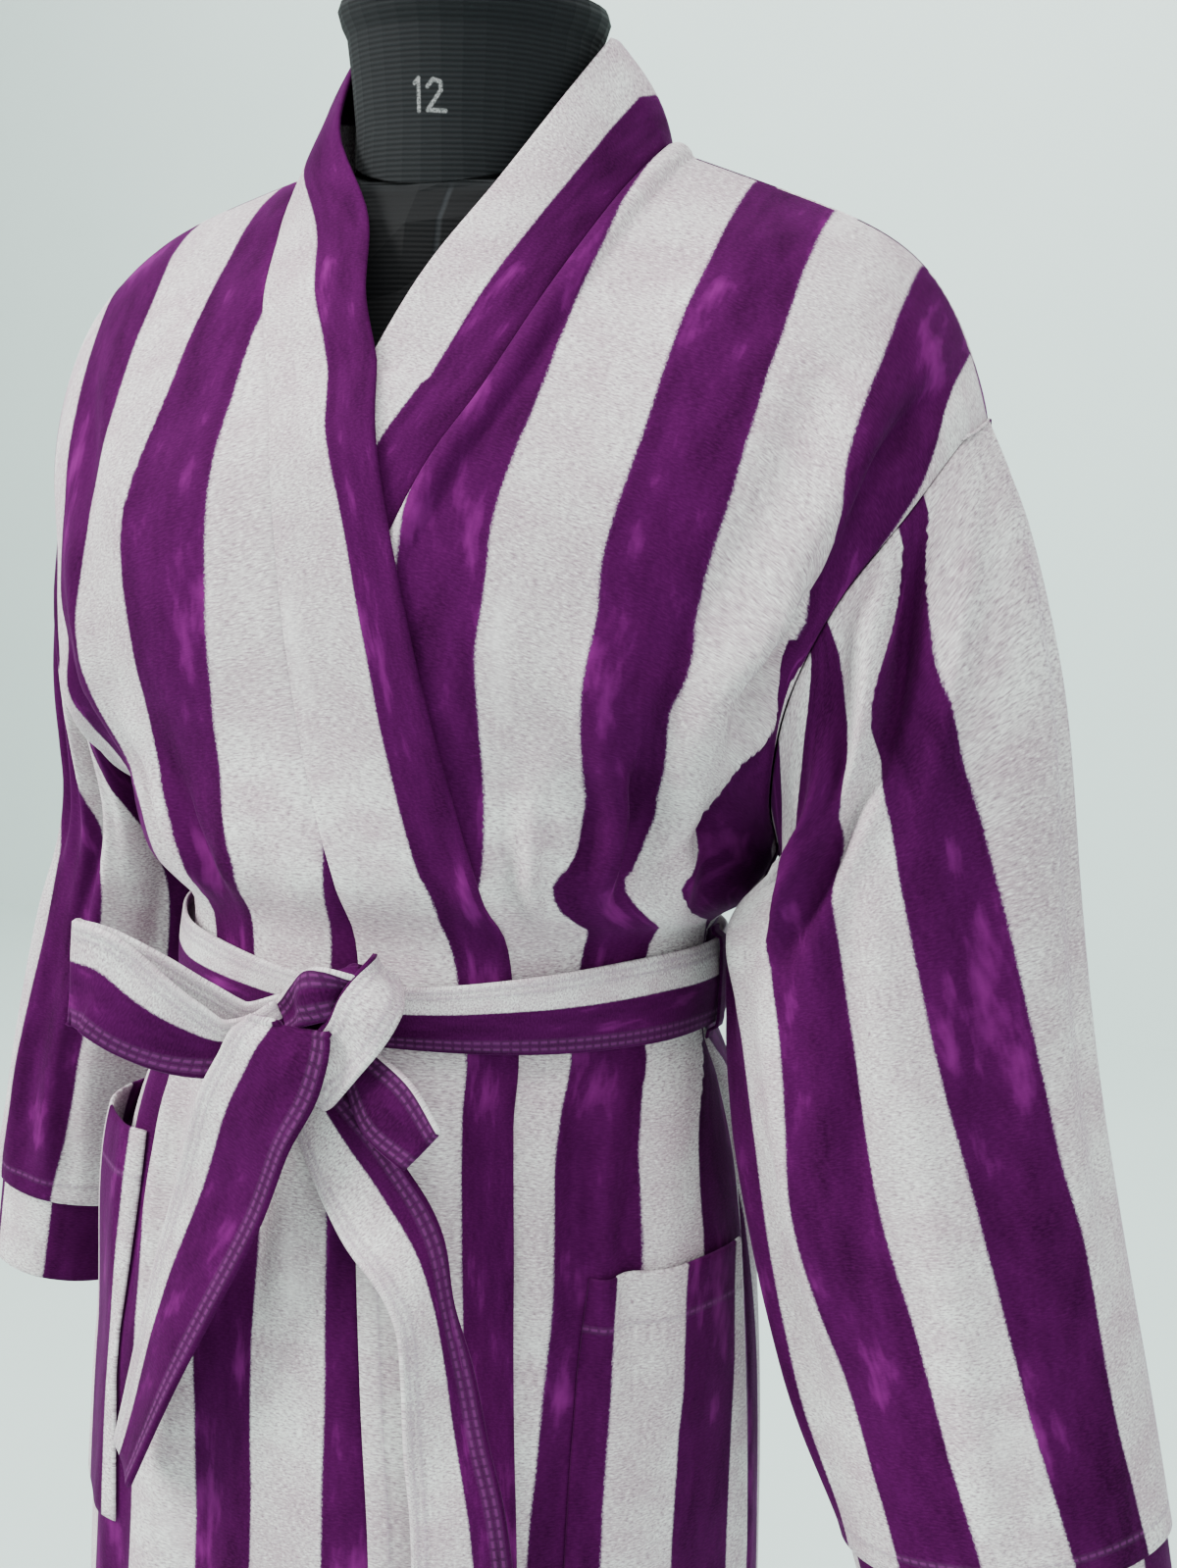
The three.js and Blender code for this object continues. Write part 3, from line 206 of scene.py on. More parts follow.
# Front panels and back panel
def front_grid(side, edges, levels, steps, relief):
    rows = []
    for level in levels:
        x = across_places(edge_at(edges, 1, level), level, side, steps)
        p = body_points(level, x, "front", relief)
        if side < 0:
            p[:, 1] -= lap_out(level, x)
        rows.append(p)
    return np.array(rows)


def neckline(side, turn):
    start = edge_at(LEFT_EDGES if side > 0 else RIGHT_EDGES, 1, TOP)
    p = body_points(TOP, [start], "back")[0]
    return np.array([start * math.cos(turn), mix(p[1], NECK_SEAM_Y, math.sin(turn)),
                     mix(p[2], NECK_SEAM_Z, math.sin(turn))])


def back_grid(levels, steps, neck_steps, relief):
    rows = []
    for level in levels:
        sides = []
        for side in (-1, 1):
            neck = edge_at(LEFT_EDGES if side > 0 else RIGHT_EDGES, 1, TOP)
            share = float(step(LEVEL["belt"], TOP, level))
            inner = mix(side * section("half", level) * 0.37, neck, share)
            places = body_points(level, across_places(inner, level, side, steps), "back", relief)
            rise = max(0, (level - LEVEL["yoke"]) / (TOP - LEVEL["yoke"]))
            middle = []
            for k in range(neck_steps, 0, -1):
                turn = math.pi / 2 * k / neck_steps
                flat = body_points(min(level, LEVEL["yoke"]), [inner * math.cos(turn)], "back", relief)[0]
                middle.append(mix(flat, neckline(side, turn), rise))
            sides.append(np.concatenate([middle, places]))
        rows.append(np.concatenate([sides[0][1:][::-1], sides[1]]))
    return np.array(rows)


# Collar bands
def stand(rows, column, level, low):
    if level <= LEVEL["chest"]:
        return low
    return edge_at([("chest", low, low)] + [(n, y, z) for n, y, z in rows], column, level)


def band_points(side, edges, stand_rows, level, shares, relief=None):
    seam_x, free_x = edge_at(edges, 1, level), edge_at(edges, 2, level)
    if level <= LEVEL["chest"]:
        p = body_points(level, mix(seam_x, free_x, shares), "front", relief)
    else:
        seam = body_points(level, [seam_x], "front", relief)[0]
        low = body_points(LEVEL["chest"], [edge_at(edges, 2, LEVEL["chest"])], "front", relief)[0]
        free = np.array([free_x, stand(stand_rows, 1, level, low[1]), stand(stand_rows, 2, level, low[2])])
        p = seam + (free - seam) * shares[:, None]
        p[:, 1] -= 5 * np.sin(math.pi * shares) * float(step(LEVEL["chest"], LEVEL["yoke"], level))
    if side < 0:
        p[:, 1] -= lap_out(min(level, TOP), p[:, 0])
    return p


def band_grid(side, edges, stand_rows, levels, shares, neck_steps, relief):
    rows = [band_points(side, edges, stand_rows, level, shares, relief) for level in levels]
    start = band_points(side, edges, stand_rows, TOP, np.array([1.0]))[0]
    for k in range(1, neck_steps + 1):
        turn = math.pi / 2 * k / neck_steps
        c, s = math.cos(turn), math.sin(turn)
        seam = neckline(side, turn)
        free = np.array([start[0] * c, mix(start[1], NECK_FREE_Y, s), mix(start[2], NECK_FREE_Z, s)])
        out = np.array([side * c, s, 0])
        rows.append(seam + (free - seam) * shares[:, None] + out * (5 * np.sin(math.pi * shares))[:, None])
    return np.array(rows)


# Sleeves and cuffs
ARM_LEVELS = sorted(list(range(LEVEL["underarm"], TOP + 1)) + [LEVEL["underarm"] + m for m in (0.5, 1.5, 2.5, 3.5)])


def armhole(side, finer):
    def at(level, face):
        x = section("shift", level) + side * section("half", level)
        return body_points(level, [x], face)[0]
    n = 2 * len(ARM_LEVELS) - 2
    fine = []
    for k in np.arange(n * finer) / finer:
        front_half = k <= len(ARM_LEVELS) - 1
        level = float(np.interp(k if front_half else n - k, range(len(ARM_LEVELS)), ARM_LEVELS))
        fine.append(at(level, "front" if front_half else "back"))
    return np.array(fine)


def sleeve_ring(side, row, loop):
    x, y, z, tilt, half, depth, own_share = row
    tilt = math.radians(tilt)
    outward = np.array([side * math.cos(tilt), 0, math.sin(tilt)])
    centre = np.array([side * x, y, z], float)
    turn = 2 * math.pi * np.arange(len(loop)) / len(loop)
    own = (centre - outward * (half * np.cos(turn))[:, None]
           + np.array([0, -1, 0]) * (depth * np.sin(turn))[:, None])
    return mix(loop - loop.mean(0) + centre, own, own_share)


def sleeve_grid(side, rows, folds, relief, finer=8, splits=12):
    loop = armhole(side, finer)
    all_rings = [loop] + [sleeve_ring(side, row, loop) for row in rows]
    total = (len(all_rings) - 1) * splits
    turn = 360 * np.arange(len(loop)) / len(loop)
    grid = [loop]
    for n in range(1, total + 1):
        down = n / total
        p = curve(all_rings, n / splits)
        out = p - p.mean(0)
        out /= np.linalg.norm(out, axis=1, keepdims=True)
        rise = np.zeros(len(loop))
        for fold_turn, width, height, start, end in folds:
            away = (turn - fold_turn) % 360
            away = (away + 180) % 360 - 180
            fade = float(step(start - 0.12, start + 0.12, down)) * (1 - float(step(end, end + 0.2, down)))
            rise += height * np.exp(-(away / width)**2) * fade
        rise += relief(turn, down)
        grid.append(p + out * rise[:, None])
    return np.array(grid)


def cuff_grid(sleeve, places):
    last, before = sleeve[-1], sleeve[-3]
    centre = last.mean(0)
    way = centre - before.mean(0)
    way /= np.linalg.norm(way)
    out = last - centre
    out -= (out @ way)[:, None] * way
    out /= np.linalg.norm(out, axis=1, keepdims=True)
    return np.array([last - out * (LAYER + max(0, q) * 0.06) + way * q for q in places])


# Stripes: purple and light, 40 mm each. u is the place across the cloth in mm: purple from 0 to 40
# and light from 40 to 80. Each line is where u has that value: z and x on the panel
FRONT_LEFT_LINES = [
    (-40, [(1458, 94), (1396, 93), (1358, 91), (1318, 85), (1295, 81), (1270, 76), (1241, 70), (1203, 65),
           (1157, 66), (1122, 66), (1095, 63), (1054, 58), (1000, 58), (900, 59), (165, 52)]),
    (0, [(1458, 134), (1398, 135), (1357, 134), (1327, 131), (1299, 127), (1265, 121), (1235, 116), (1200, 112),
         (1179, 108), (1152, 105), (1126, 101), (1100, 98), (1054, 94), (1004, 95), (957, 99), (925, 100),
         (885, 99), (845, 98), (805, 96), (165, 94)]),
    (40, [(1458, 169), (1405, 171), (1347, 172), (1316, 169), (1278, 162), (1235, 153), (1203, 146),
          (1185, 140), (1152, 133), (1121, 127), (1098, 122), (1066, 115), (1030, 117), (996, 123), (957, 128),
          (933, 131), (800, 128), (165, 132)]),
    (120, [(1458, 245), (1356, 231), (1335, 233), (1315, 226), (1297, 219), (1286, 214), (1274, 208), (1259, 199),
           (1250, 194), (1232, 188), (1200, 180), (1150, 166), (1054, 146), (973, 158), (893, 170), (165, 192)]),
    (80, [(1458, 212), (1381, 212), (1338, 209), (1302, 202), (1278, 197), (1250, 190), (1233, 182), (1200, 170),
          (1160, 150), (1054, 128), (988, 140), (965, 144), (917, 149), (861, 149), (797, 146), (165, 158)]),
]
FRONT_RIGHT_LINES = [
    (-40, [(1458, -40), (1180, 8), (1128, -2), (1098, -5), (1067, -8), (1020, -2), (957, 3), (893, 7), (821, 9),
           (165, 12)]),
    (0, [(1458, -98), (1408, -80), (1377, -66), (1356, -60), (1324, -59), (1302, -60), (1269, -64),
         (1238, -66), (1210, -63), (1188, -61), (1159, -61), (1137, -59), (1116, -55), (1096, -53), (1059, -49),
         (1000, -40), (949, -33), (885, -31), (813, -26), (165, -24)]),
    (40, [(1458, -135), (1396, -111), (1380, -106), (1341, -99), (1314, -97), (1298, -100), (1282, -104),
          (1262, -112), (1252, -116), (1225, -117), (1212, -113), (1193, -107), (1152, -102), (1107, -88),
          (1067, -76), (1000, -70), (941, -65), (877, -60), (805, -57), (165, -60)]),
    (80, [(1458, -180), (1395, -157), (1362, -145), (1343, -137), (1310, -134), (1277, -137), (1257, -141),
          (1200, -145), (1150, -130), (1067, -108), (1000, -104), (940, -104), (165, -104)]),
]
# On the sleeves: the share of the way down, and the length round from the inside of the arm
LEFT_SLEEVE_LINES = [
    (0, [(0, 150), (0.07, 119), (0.1, 102), (0.2, 85), (0.34, 78), (0.41, 80), (0.5, 87), (0.57, 86), (0.68, 81),
         (1, 81)]),
    (40, [(0, 161), (0.06, 152), (0.1, 146), (0.16, 137), (0.27, 122), (0.31, 114), (0.41, 114), (0.57, 118),
          (0.7, 120), (1, 120)]),
    (80, [(0, 212), (0.03, 207), (0.07, 193), (0.11, 174), (0.15, 158), (0.19, 150), (0.28, 142), (0.38, 142),
          (0.5, 150), (0.64, 160), (0.8, 157), (1, 158)]),
    (120, [(0, 232), (0.05, 212), (0.12, 199), (0.21, 184), (0.29, 179), (0.39, 184), (0.52, 195), (0.69, 204),
           (0.8, 197), (1, 199)]),
    (160, [(0, 296), (0.14, 294), (0.24, 279), (0.33, 263), (0.43, 257), (0.62, 257), (0.71, 252), (0.81, 244),
           (0.9, 240), (1, 236)]),
]
RIGHT_SLEEVE_LINES = [
    (0, [(0, 160), (0.2, 120), (0.5, 95), (1, 95)]), (40, [(0, 205), (0.2, 165), (0.5, 135), (1, 135)]),
]
# Across the bands: the share, from the seam, of the line between the two colours
RIGHT_BAND_LINE = [(1478, 0.44), (1424, 0.43), (1380, 0.57), (1340, 0.59), (1300, 0.56), (1250, 0.62), (1200, 0.65),
                   (1100, 0.64), (1060, 0.67), (1000, 0.69), (165, 0.69)]
LEFT_BAND_LINE = [(1478, 0.46), (1350, 0.44), (165, 0.44)]

COLOUR_WIDTH = 36.5  # of each colour on a band or belt


def smoothed(values, width):
    """Rows of values, evened out along the first axis."""
    reach = int(3 * width)
    k = np.exp(-0.5 * (np.arange(-reach, reach + 1) / width)**2)
    k /= k.sum()
    padded = np.pad(values, [(reach, reach)] + [(0, 0)] * (values.ndim - 1), mode="edge")
    return np.apply_along_axis(lambda c: np.convolve(c, k, mode="valid"), 0, padded)


def row_lengths(grid):
    return np.concatenate([np.zeros((len(grid), 1)),
                           np.cumsum(np.linalg.norm(np.diff(grid, axis=1), axis=2), axis=1)], axis=1)


def down_lengths(grid):
    one = np.linalg.norm(np.diff(grid, axis=0), axis=2).mean(1)
    return np.concatenate([[0], np.cumsum(one)])


def line_at(line, place):
    """A value from a table of pairs, whichever way its first column runs."""
    pairs = sorted(line)
    return np.interp(place, [p[0] for p in pairs], [p[1] for p in pairs])


def pattern(u, v):
    return np.stack([u, np.broadcast_to(v, u.shape)], -1)


def stripe_places(lengths, lines, places):
    """u for each point of each row, with the cloth's own width outside the lines."""
    rows = []
    for row, found in zip(lengths, places):
        marks = sorted(zip([line[0] for line in lines], found), key=lambda m: m[1])
        u, at = np.array(marks, float).T
        sign = 1 if u[-1] >= u[0] else -1
        rows.append(np.where(row < at[0], u[0] - sign * (at[0] - row),
                             np.where(row > at[-1], u[-1] + sign * (row - at[-1]), np.interp(row, at, u))))
    return np.array(rows)


def panel_uv(grid, lines, outward, spacing=3):
    """Pattern coordinates of a panel whose rows run from its seam to its side."""
    lengths = row_lengths(grid)
    places = np.zeros((len(grid), len(lines)))
    for i, row in enumerate(grid):
        x = outward * row[:, 0]
        for k, (_, line) in enumerate(lines):
            want = outward * line_at(line, row[:, 2].mean())
            # beyond the seam the line goes on at the cloth's own width
            places[i, k] = np.interp(want, x, lengths[i]) - max(0, x[0] - want)
    return pattern(stripe_places(lengths, lines, smoothed(places, spacing)), down_lengths(grid)[:, None])


def ring_uv(grid, smooth, lines, spacing=2):
    """Pattern coordinates of a sleeve: one column more than the grid has, for its seam.

    The lines are measured on the smooth sleeve, before its creases are drawn."""
    closed = np.concatenate([grid, grid[:, :1]], axis=1)
    lengths = row_lengths(closed)
    plain = row_lengths(np.concatenate([smooth, smooth[:, :1]], axis=1))
    places = np.array([[line_at(line, down) for _, line in lines] for down in np.linspace(0, 1, len(grid))])
    places = np.array([np.interp(*row) for row in zip(smoothed(places, spacing), plain, lengths)])
    return pattern(stripe_places(lengths, lines, places), down_lengths(closed)[:, None])


def two_colours(share, split):
    """u across a band or belt that is purple on one side of a line and light on the other."""
    return np.where(share > split, (share - split) / (1 - split), (share - split) / split) * COLOUR_WIDTH


def band_uv(grid, line, purple_outside):
    lengths = row_lengths(grid)
    u = np.array([two_colours(row / row[-1], line_at(line, points[:, 2].mean()))
                  for row, points in zip(lengths, grid)])
    return pattern(u if purple_outside else -u, down_lengths(grid)[:, None])


def strip_uv(grid, split, purple_last):
    """A belt or strap: its rows run across it, with the line between the two colours at a share."""
    u = two_colours(np.linspace(0, 1, grid.shape[1])[None, :].repeat(len(grid), 0), split)
    return pattern(u if purple_last else -u, running(grid.mean(1))[:, None])


# Stitching: a second map of the cloth, in mm. Two rows of stitches show where its first value is 2.5
# and 6, and a single row where it is 30. Its second value runs along the row
FAR = 500.0
ONE_ROW = 30.0


def edge_rows(grid):
    """Two rows of stitches along both edges of a belt or strap, whose rows run across it."""
    lengths = row_lengths(grid)
    return pattern(np.minimum(lengths, lengths[:, -1:] - lengths), running(grid.mean(1))[:, None])


def one_row(distance, along):
    return pattern(distance + ONE_ROW, along)


# Meshes
def grid_normals(grid, closed, flip):
    if closed:
        across = (np.roll(grid, -1, axis=1) - np.roll(grid, 1, axis=1)) / 2
    else:
        across = np.gradient(grid, axis=1)
    n = np.cross(across, np.gradient(grid, axis=0))
    n /= np.linalg.norm(n, axis=2, keepdims=True) + 1e-12
    return -n if flip else n


def smooth_normals(n, closed):
    edge = "wrap" if closed else "edge"
    sides = np.pad(n, [(0, 0), (1, 1), (0, 0)], mode=edge)
    ends = np.pad(n, [(1, 1), (0, 0), (0, 0)], mode="edge")
    n = n * 2 + ends[:-2] + ends[2:] + sides[:, :-2] + sides[:, 2:]
    return n / (np.linalg.norm(n, axis=2, keepdims=True) + 1e-12)


def cloth(name, grid, uv, wall=WALL, closed=False, flip=False, extra=None):
    """A wall of even thickness with softly rounded edges, from the grid of its outer points."""
    rows, columns = grid.shape[:2]
    n = smooth_normals(grid_normals(grid, closed, flip), closed)
    outer = grid.reshape(-1, 3)
    inner = (grid - n * wall).reshape(-1, 3)
    count, uv_w = rows * columns, uv.shape[1]
    i, j = np.meshgrid(np.arange(rows - 1), np.arange(columns if closed else columns - 1), indexing="ij")
    i, j = i.ravel(), j.ravel()
    j1 = (j + 1) % columns
    a, b, c, d = i * columns + j, i * columns + j1, (i + 1) * columns + j1, (i + 1) * columns + j
    ua, ud = i * uv_w + j, (i + 1) * uv_w + j
    quads = [np.stack([a, b, c, d], 1), np.stack([d, c, b, a], 1) + count]
    uvs = [np.stack([ua, ua + 1, ud + 1, ud], 1), np.stack([ud, ud + 1, ua + 1, ua], 1)]
    points = [outer, inner]
    # the rounded edges: a loop of points, its places on the map and the points beside it
    col, row, end = np.arange(columns), np.arange(rows), (rows - 1) * columns
    if closed:
        ring, ring_map = np.append(col, 0), np.arange(columns + 1)
        rims = [(ring, ring_map, ring + columns),
                ((ring + end)[::-1], (ring_map + (rows - 1) * uv_w)[::-1], (ring + end - columns)[::-1])]
    else:
        back, up = col[::-1][1:], row[::-1][1:] * columns
        loop = np.concatenate([col, row[1:] * columns + columns - 1, end + back, up])
        beside = np.concatenate([col + columns, row[1:] * columns + columns - 2, end - columns + back, up + 1])
        rims = [(loop, loop // columns * uv_w + loop % columns, beside)]
    total = 2 * count
    for loop, loop_map, beside in rims:
        l0, l1, u0, u1 = loop[:-1], loop[1:], loop_map[:-1], loop_map[1:]
        k = len(l0)
        way = outer[l0] - outer[beside[:-1]]
        for q in () if closed else (0, columns - 1, columns + rows - 2, 2 * columns + rows - 3):
            way[q] = outer[l0[q]] - (outer[l0[(q + 1) % k]] + outer[l0[(q - 1) % k]]) / 2
        way /= np.linalg.norm(way, axis=1, keepdims=True) + 1e-9
        points.append((outer[l0] + inner[l0]) / 2 + way * wall * EDGE_ROUND)
        m, m1 = total + np.arange(k), total + (np.arange(k) + 1) % k
        quads += [np.stack([l0, m, m1, l1], 1), np.stack([m, l0 + count, l1 + count, m1], 1)]
        uvs += [np.stack([u0, u0, u1, u1], 1)] * 2
        total += k
    faces, corner_uv = np.concatenate(quads), np.concatenate(uvs)
    if not flip:
        faces, corner_uv = faces[:, ::-1], corner_uv[:, ::-1]
    mesh = bpy.data.meshes.new(name)
    mesh.from_pydata((np.concatenate(points) * MM).tolist(), [], faces.tolist())
    for layer, values in (("cloth", uv), ("stitching", np.full(uv.shape, FAR) if extra is None else extra)):
        values = values.reshape(-1, 2)[corner_uv.ravel()] * MM
        mesh.uv_layers.new(name=layer).data.foreach_set("uv", values.astype(np.float32).ravel())
    mesh.polygons.foreach_set("use_smooth", [True] * len(faces))
    mesh.validate()
    mesh.materials.append(velvet)
    made = bpy.data.objects.new(name, mesh)
    bpy.context.collection.objects.link(made)
    return made


# Materials
class Tree:
    """A material's or a group's nodes, with short names for the kinds used here."""

    def __init__(self, tree):
        self.tree = tree

    def put(self, value, socket):
        if isinstance(value, bpy.types.NodeSocket):
            self.tree.links.new(value, socket)
        elif value is not None:
            socket.default_value = value

    def add(self, kind, inputs=(), **settings):
        made = self.tree.nodes.new("ShaderNode" + kind)
        for name, value in settings.items():
            setattr(made, name, value)
        for key, value in dict(inputs).items():
            self.put(value, made.inputs[key])
        return made

    def maths(self, operation, a, b=None, clamp=False):
        return self.add("Math", {0: a, 1: b}, operation=operation, use_clamp=clamp).outputs[0]

    def plus(self, a, b):
        return self.maths("ADD", a, b)

    def minus(self, a, b):
        return self.maths("SUBTRACT", a, b)

    def times(self, a, b):
        return self.maths("MULTIPLY", a, b)

    def ripple(self, value, period):
        return self.maths("SINE", self.times(value, 2 * math.pi / period))

    def off_from(self, value, place):
        return self.maths("ABSOLUTE", self.minus(value, place))

    def vector(self, operation, a, b=None, output=0):
        return self.add("VectorMath", {0: a} if b is None else {0: a, 1: b}, operation=operation).outputs[output]

    def blend(self, factor, a, b):
        a, b = ((*c, 1) if isinstance(c, tuple) else c for c in (a, b))
        return self.add("Mix", {0: factor, 6: a, 7: b}, data_type="RGBA").outputs[2]

    def noise(self, place, scale, detail=2.0, rough=0.5):
        inputs = {"Vector": place, "Scale": scale, "Detail": detail, "Roughness": rough}
        return self.add("TexNoise", inputs).outputs["Fac"]

    def stretch(self, value, low, high, to_low=0.0, to_high=1.0):
        inputs = {"Value": value, "From Min": low, "From Max": high, "To Min": to_low, "To Max": to_high}
        return self.add("MapRange", inputs, clamp=True).outputs[0]

    def scaled(self, place, scale):
        return self.add("Mapping", {"Vector": place, "Scale": scale}).outputs[0]

    def split(self, vector):
        return self.add("SeparateXYZ", {"Vector": vector}).outputs

    def bump(self, shader, height, strength, distance):
        made = self.add("Bump", {"Height": height, "Strength": strength, "Distance": distance})
        self.put(made.outputs[0], shader.inputs["Normal"])


def surface(name, roughness=0.8, metal=0.0, **more):
    """A new material, its tree and its shader; more holds other sockets, with _ for a space."""
    made = bpy.data.materials.new(name)
    made.use_nodes = True
    shader = next(n for n in made.node_tree.nodes if n.type == "BSDF_PRINCIPLED")
    for socket, value in {"Roughness": roughness, "Metallic": metal, **more}.items():
        shader.inputs[socket.replace("_", " ")].default_value = value
    return made, Tree(made.node_tree), shader


PERIOD = 0.080
STITCH_ROWS = (0.0025, 0.006, 0.030)
STITCH_LENGTH = 0.0042


def stitch_group():
    """Where the stitches lie and how deep they draw the cloth, from the second map."""
    group = bpy.data.node_groups.new("stitches", "ShaderNodeTree")
    for name in ("Thread", "Drawn"):
        group.interface.new_socket(name, in_out="OUTPUT", socket_type="NodeSocketFloat")
    t = Tree(group)
    away, along, _ = t.split(t.add("UVMap", uv_map="stitching").outputs[0])
    near = t.off_from(away, STITCH_ROWS[0])
    for row in STITCH_ROWS[1:]:
        near = t.maths("MINIMUM", near, t.off_from(away, row))
    line = t.stretch(near, 0.0004, 0.0008, 1.0, 0.0)
    dash = t.stretch(t.ripple(along, STITCH_LENGTH), -0.75, -0.35)
    drawn = t.stretch(near, 0.0, 0.0022, 1.0, 0.0)
    end = group.nodes.new("NodeGroupOutput")
    t.put(t.times(line, dash), end.inputs[0])
    t.put(t.times(drawn, t.plus(t.times(dash, 0.35), 0.65)), end.inputs[1])
    return group


def velvet_material():
    made, t, shader = surface("velvet_stripes", 0.74, Sheen_Weight=0.08, Sheen_Roughness=0.32,
                              Sheen_Tint=(1.0, 0.30, 0.98, 1), Specular_IOR_Level=0.03)
    uv = t.add("UVMap", uv_map="cloth").outputs[0]
    stitches = t.add("Group", node_tree=stitch_group()).outputs
    # the stripes' edges are a little fuzzy, as the pile leans over them
    fuzz = t.minus(t.noise(t.scaled(uv, (1.0, 0.6, 1.0)), 1300, 2), 0.5)
    drift = t.minus(t.noise(uv, 26, 1), 0.5)
    across = t.plus(t.plus(t.split(uv)[0], t.times(fuzz, 0.0022)), t.times(drift, 0.0016))
    wave = t.ripple(across, PERIOD)
    purple = t.maths("ADD", t.times(wave, 15.0), 0.5, clamp=True)
    border = t.stretch(t.maths("ABSOLUTE", wave), 0.0, 0.085, 1.0, 0.0)
    # nap: patches where the pile leans another way, and finer brushed marks
    patches = t.noise(t.scaled(uv, (1.0, 0.42, 1.0)), 21, 3, 0.55)
    brushed = t.noise(t.scaled(uv, (1.0, 0.35, 1.0)), 80, 3, 0.6)
    grain = t.noise(t.scaled(uv, (0.5, 1.6, 1.0)), 760, 3, 0.65)
    fine = t.noise(t.scaled(uv, (0.5, 1.5, 1.0)), 1300, 2, 0.6)
    nap = t.plus(t.times(patches, 0.62), t.times(brushed, 0.38))
    deep = t.blend(t.stretch(nap, 0.36, 0.60), (0.020, 0.0002, 0.019), (0.055, 0.0014, 0.052))
    deep = t.blend(t.stretch(nap, 0.55, 0.72), deep, (0.19, 0.014, 0.17))
    deep = t.blend(t.stretch(grain, 0.40, 0.72, 0.0, 0.20), deep, (0.15, 0.012, 0.14))
    # the light stripes: heathered, worn in places, flecked with purple and pale yarn
    mottle = t.noise(t.scaled(uv, (0.8, 1.0, 1.0)), 34, 4, 0.62)
    speck = t.plus(t.times(grain, 0.65), t.times(fine, 0.35))
    ecru = t.blend(t.stretch(mottle, 0.38, 0.62), (0.70, 0.705, 0.685), (0.52, 0.43, 0.465))
    ecru = t.blend(t.stretch(t.noise(uv, 6, 2, 0.5), 0.44, 0.60, 0.0, 0.6), ecru, (0.43, 0.37, 0.39))
    ecru = t.blend(t.stretch(speck, 0.47, 0.62, 0.0, 0.9), ecru, (0.24, 0.165, 0.21))
    ecru = t.blend(t.stretch(speck, 0.46, 0.36, 0.0, 0.75), ecru, (0.86, 0.86, 0.84))
    ecru = t.blend(t.stretch(nap, 0.57, 0.70, 0.0, 0.5), ecru, (0.80, 0.80, 0.785))
    colour = t.blend(purple, ecru, deep)
    colour = t.blend(t.times(border, 0.45), colour, (0.10, 0.03, 0.11))
    # painted shade: the cloth's colour is darkened along the groove that the stitches draw down
    colour = t.blend(t.times(stitches["Drawn"], 0.30), colour, (0.10, 0.06, 0.11))
    thread = t.blend(purple, (0.42, 0.34, 0.40), (0.14, 0.02, 0.13))
    colour = t.blend(t.times(stitches["Thread"], 0.5), colour, thread)
    t.put(colour, shader.inputs["Base Color"])
    t.put(t.stretch(nap, 0.3, 0.7, 0.86, 0.68), shader.inputs["Roughness"])
    pile = t.plus(t.times(grain, 0.55), t.times(brushed, 1.3))
    t.bump(shader, t.minus(pile, t.times(stitches["Drawn"], 0.9)), 0.34, 0.0011)
    return made


def plain_material(name, colour, roughness, metal, mottle, scale, bump_distance):
    made, t, shader = surface(name, roughness, metal)
    spots = t.noise(t.add("TexCoord").outputs["Object"], scale, 3)
    dark, bright = (tuple(min(1, c * (1 + m)) for c in colour) for m in (-mottle, mottle))
    t.put(t.blend(spots, dark, bright), shader.inputs["Base Color"])
    t.put(t.stretch(spots, 0.3, 0.7, roughness * 0.85, min(1, roughness * 1.15)), shader.inputs["Roughness"])
    t.bump(shader, spots, 0.3, bump_distance)
    return made


# The number chalked on the form's neck: two lines of strokes through x and z, in metres
CHALK = [[(-0.0030, 1.4505), (-0.0010, 1.4525), (-0.0010, 1.4390)],
         [(0.0032, 1.4490), (0.0058, 1.4520), (0.0092, 1.4508), (0.0094, 1.4474), (0.0032, 1.4392),
          (0.0112, 1.4388)]]
CHALK_HALF = 0.0009
NECK_EDGE = (1.404, 1.410)  # where the torso's cover ends and the neck's begins; below it the cover is darkened, partly its own darker cloth and partly painted shade inside the robe
FRONT_SEAM = 0.014
RIB = 0.0023


def stroke(t, place, start, end):
    """A mask along one straight chalk stroke, drawn on the front's x and z."""
    a, b = (start[0], 0, start[1]), (end[0], 0, end[1])
    line = tuple(q - p for p, q in zip(a, b))
    away = t.vector("SUBTRACT", t.vector("MULTIPLY", place, (1, 0, 1)), a)
    share = t.maths("DIVIDE", t.vector("DOT_PRODUCT", away, line, 1), sum(c * c for c in line), clamp=True)
    on_line = t.add("VectorMath", {0: line, "Scale": share}, operation="SCALE").outputs[0]
    gap = t.vector("LENGTH", t.vector("SUBTRACT", away, on_line), None, 1)
    return t.stretch(gap, CHALK_HALF * 0.6, CHALK_HALF * 1.3, 1.0, 0.0)


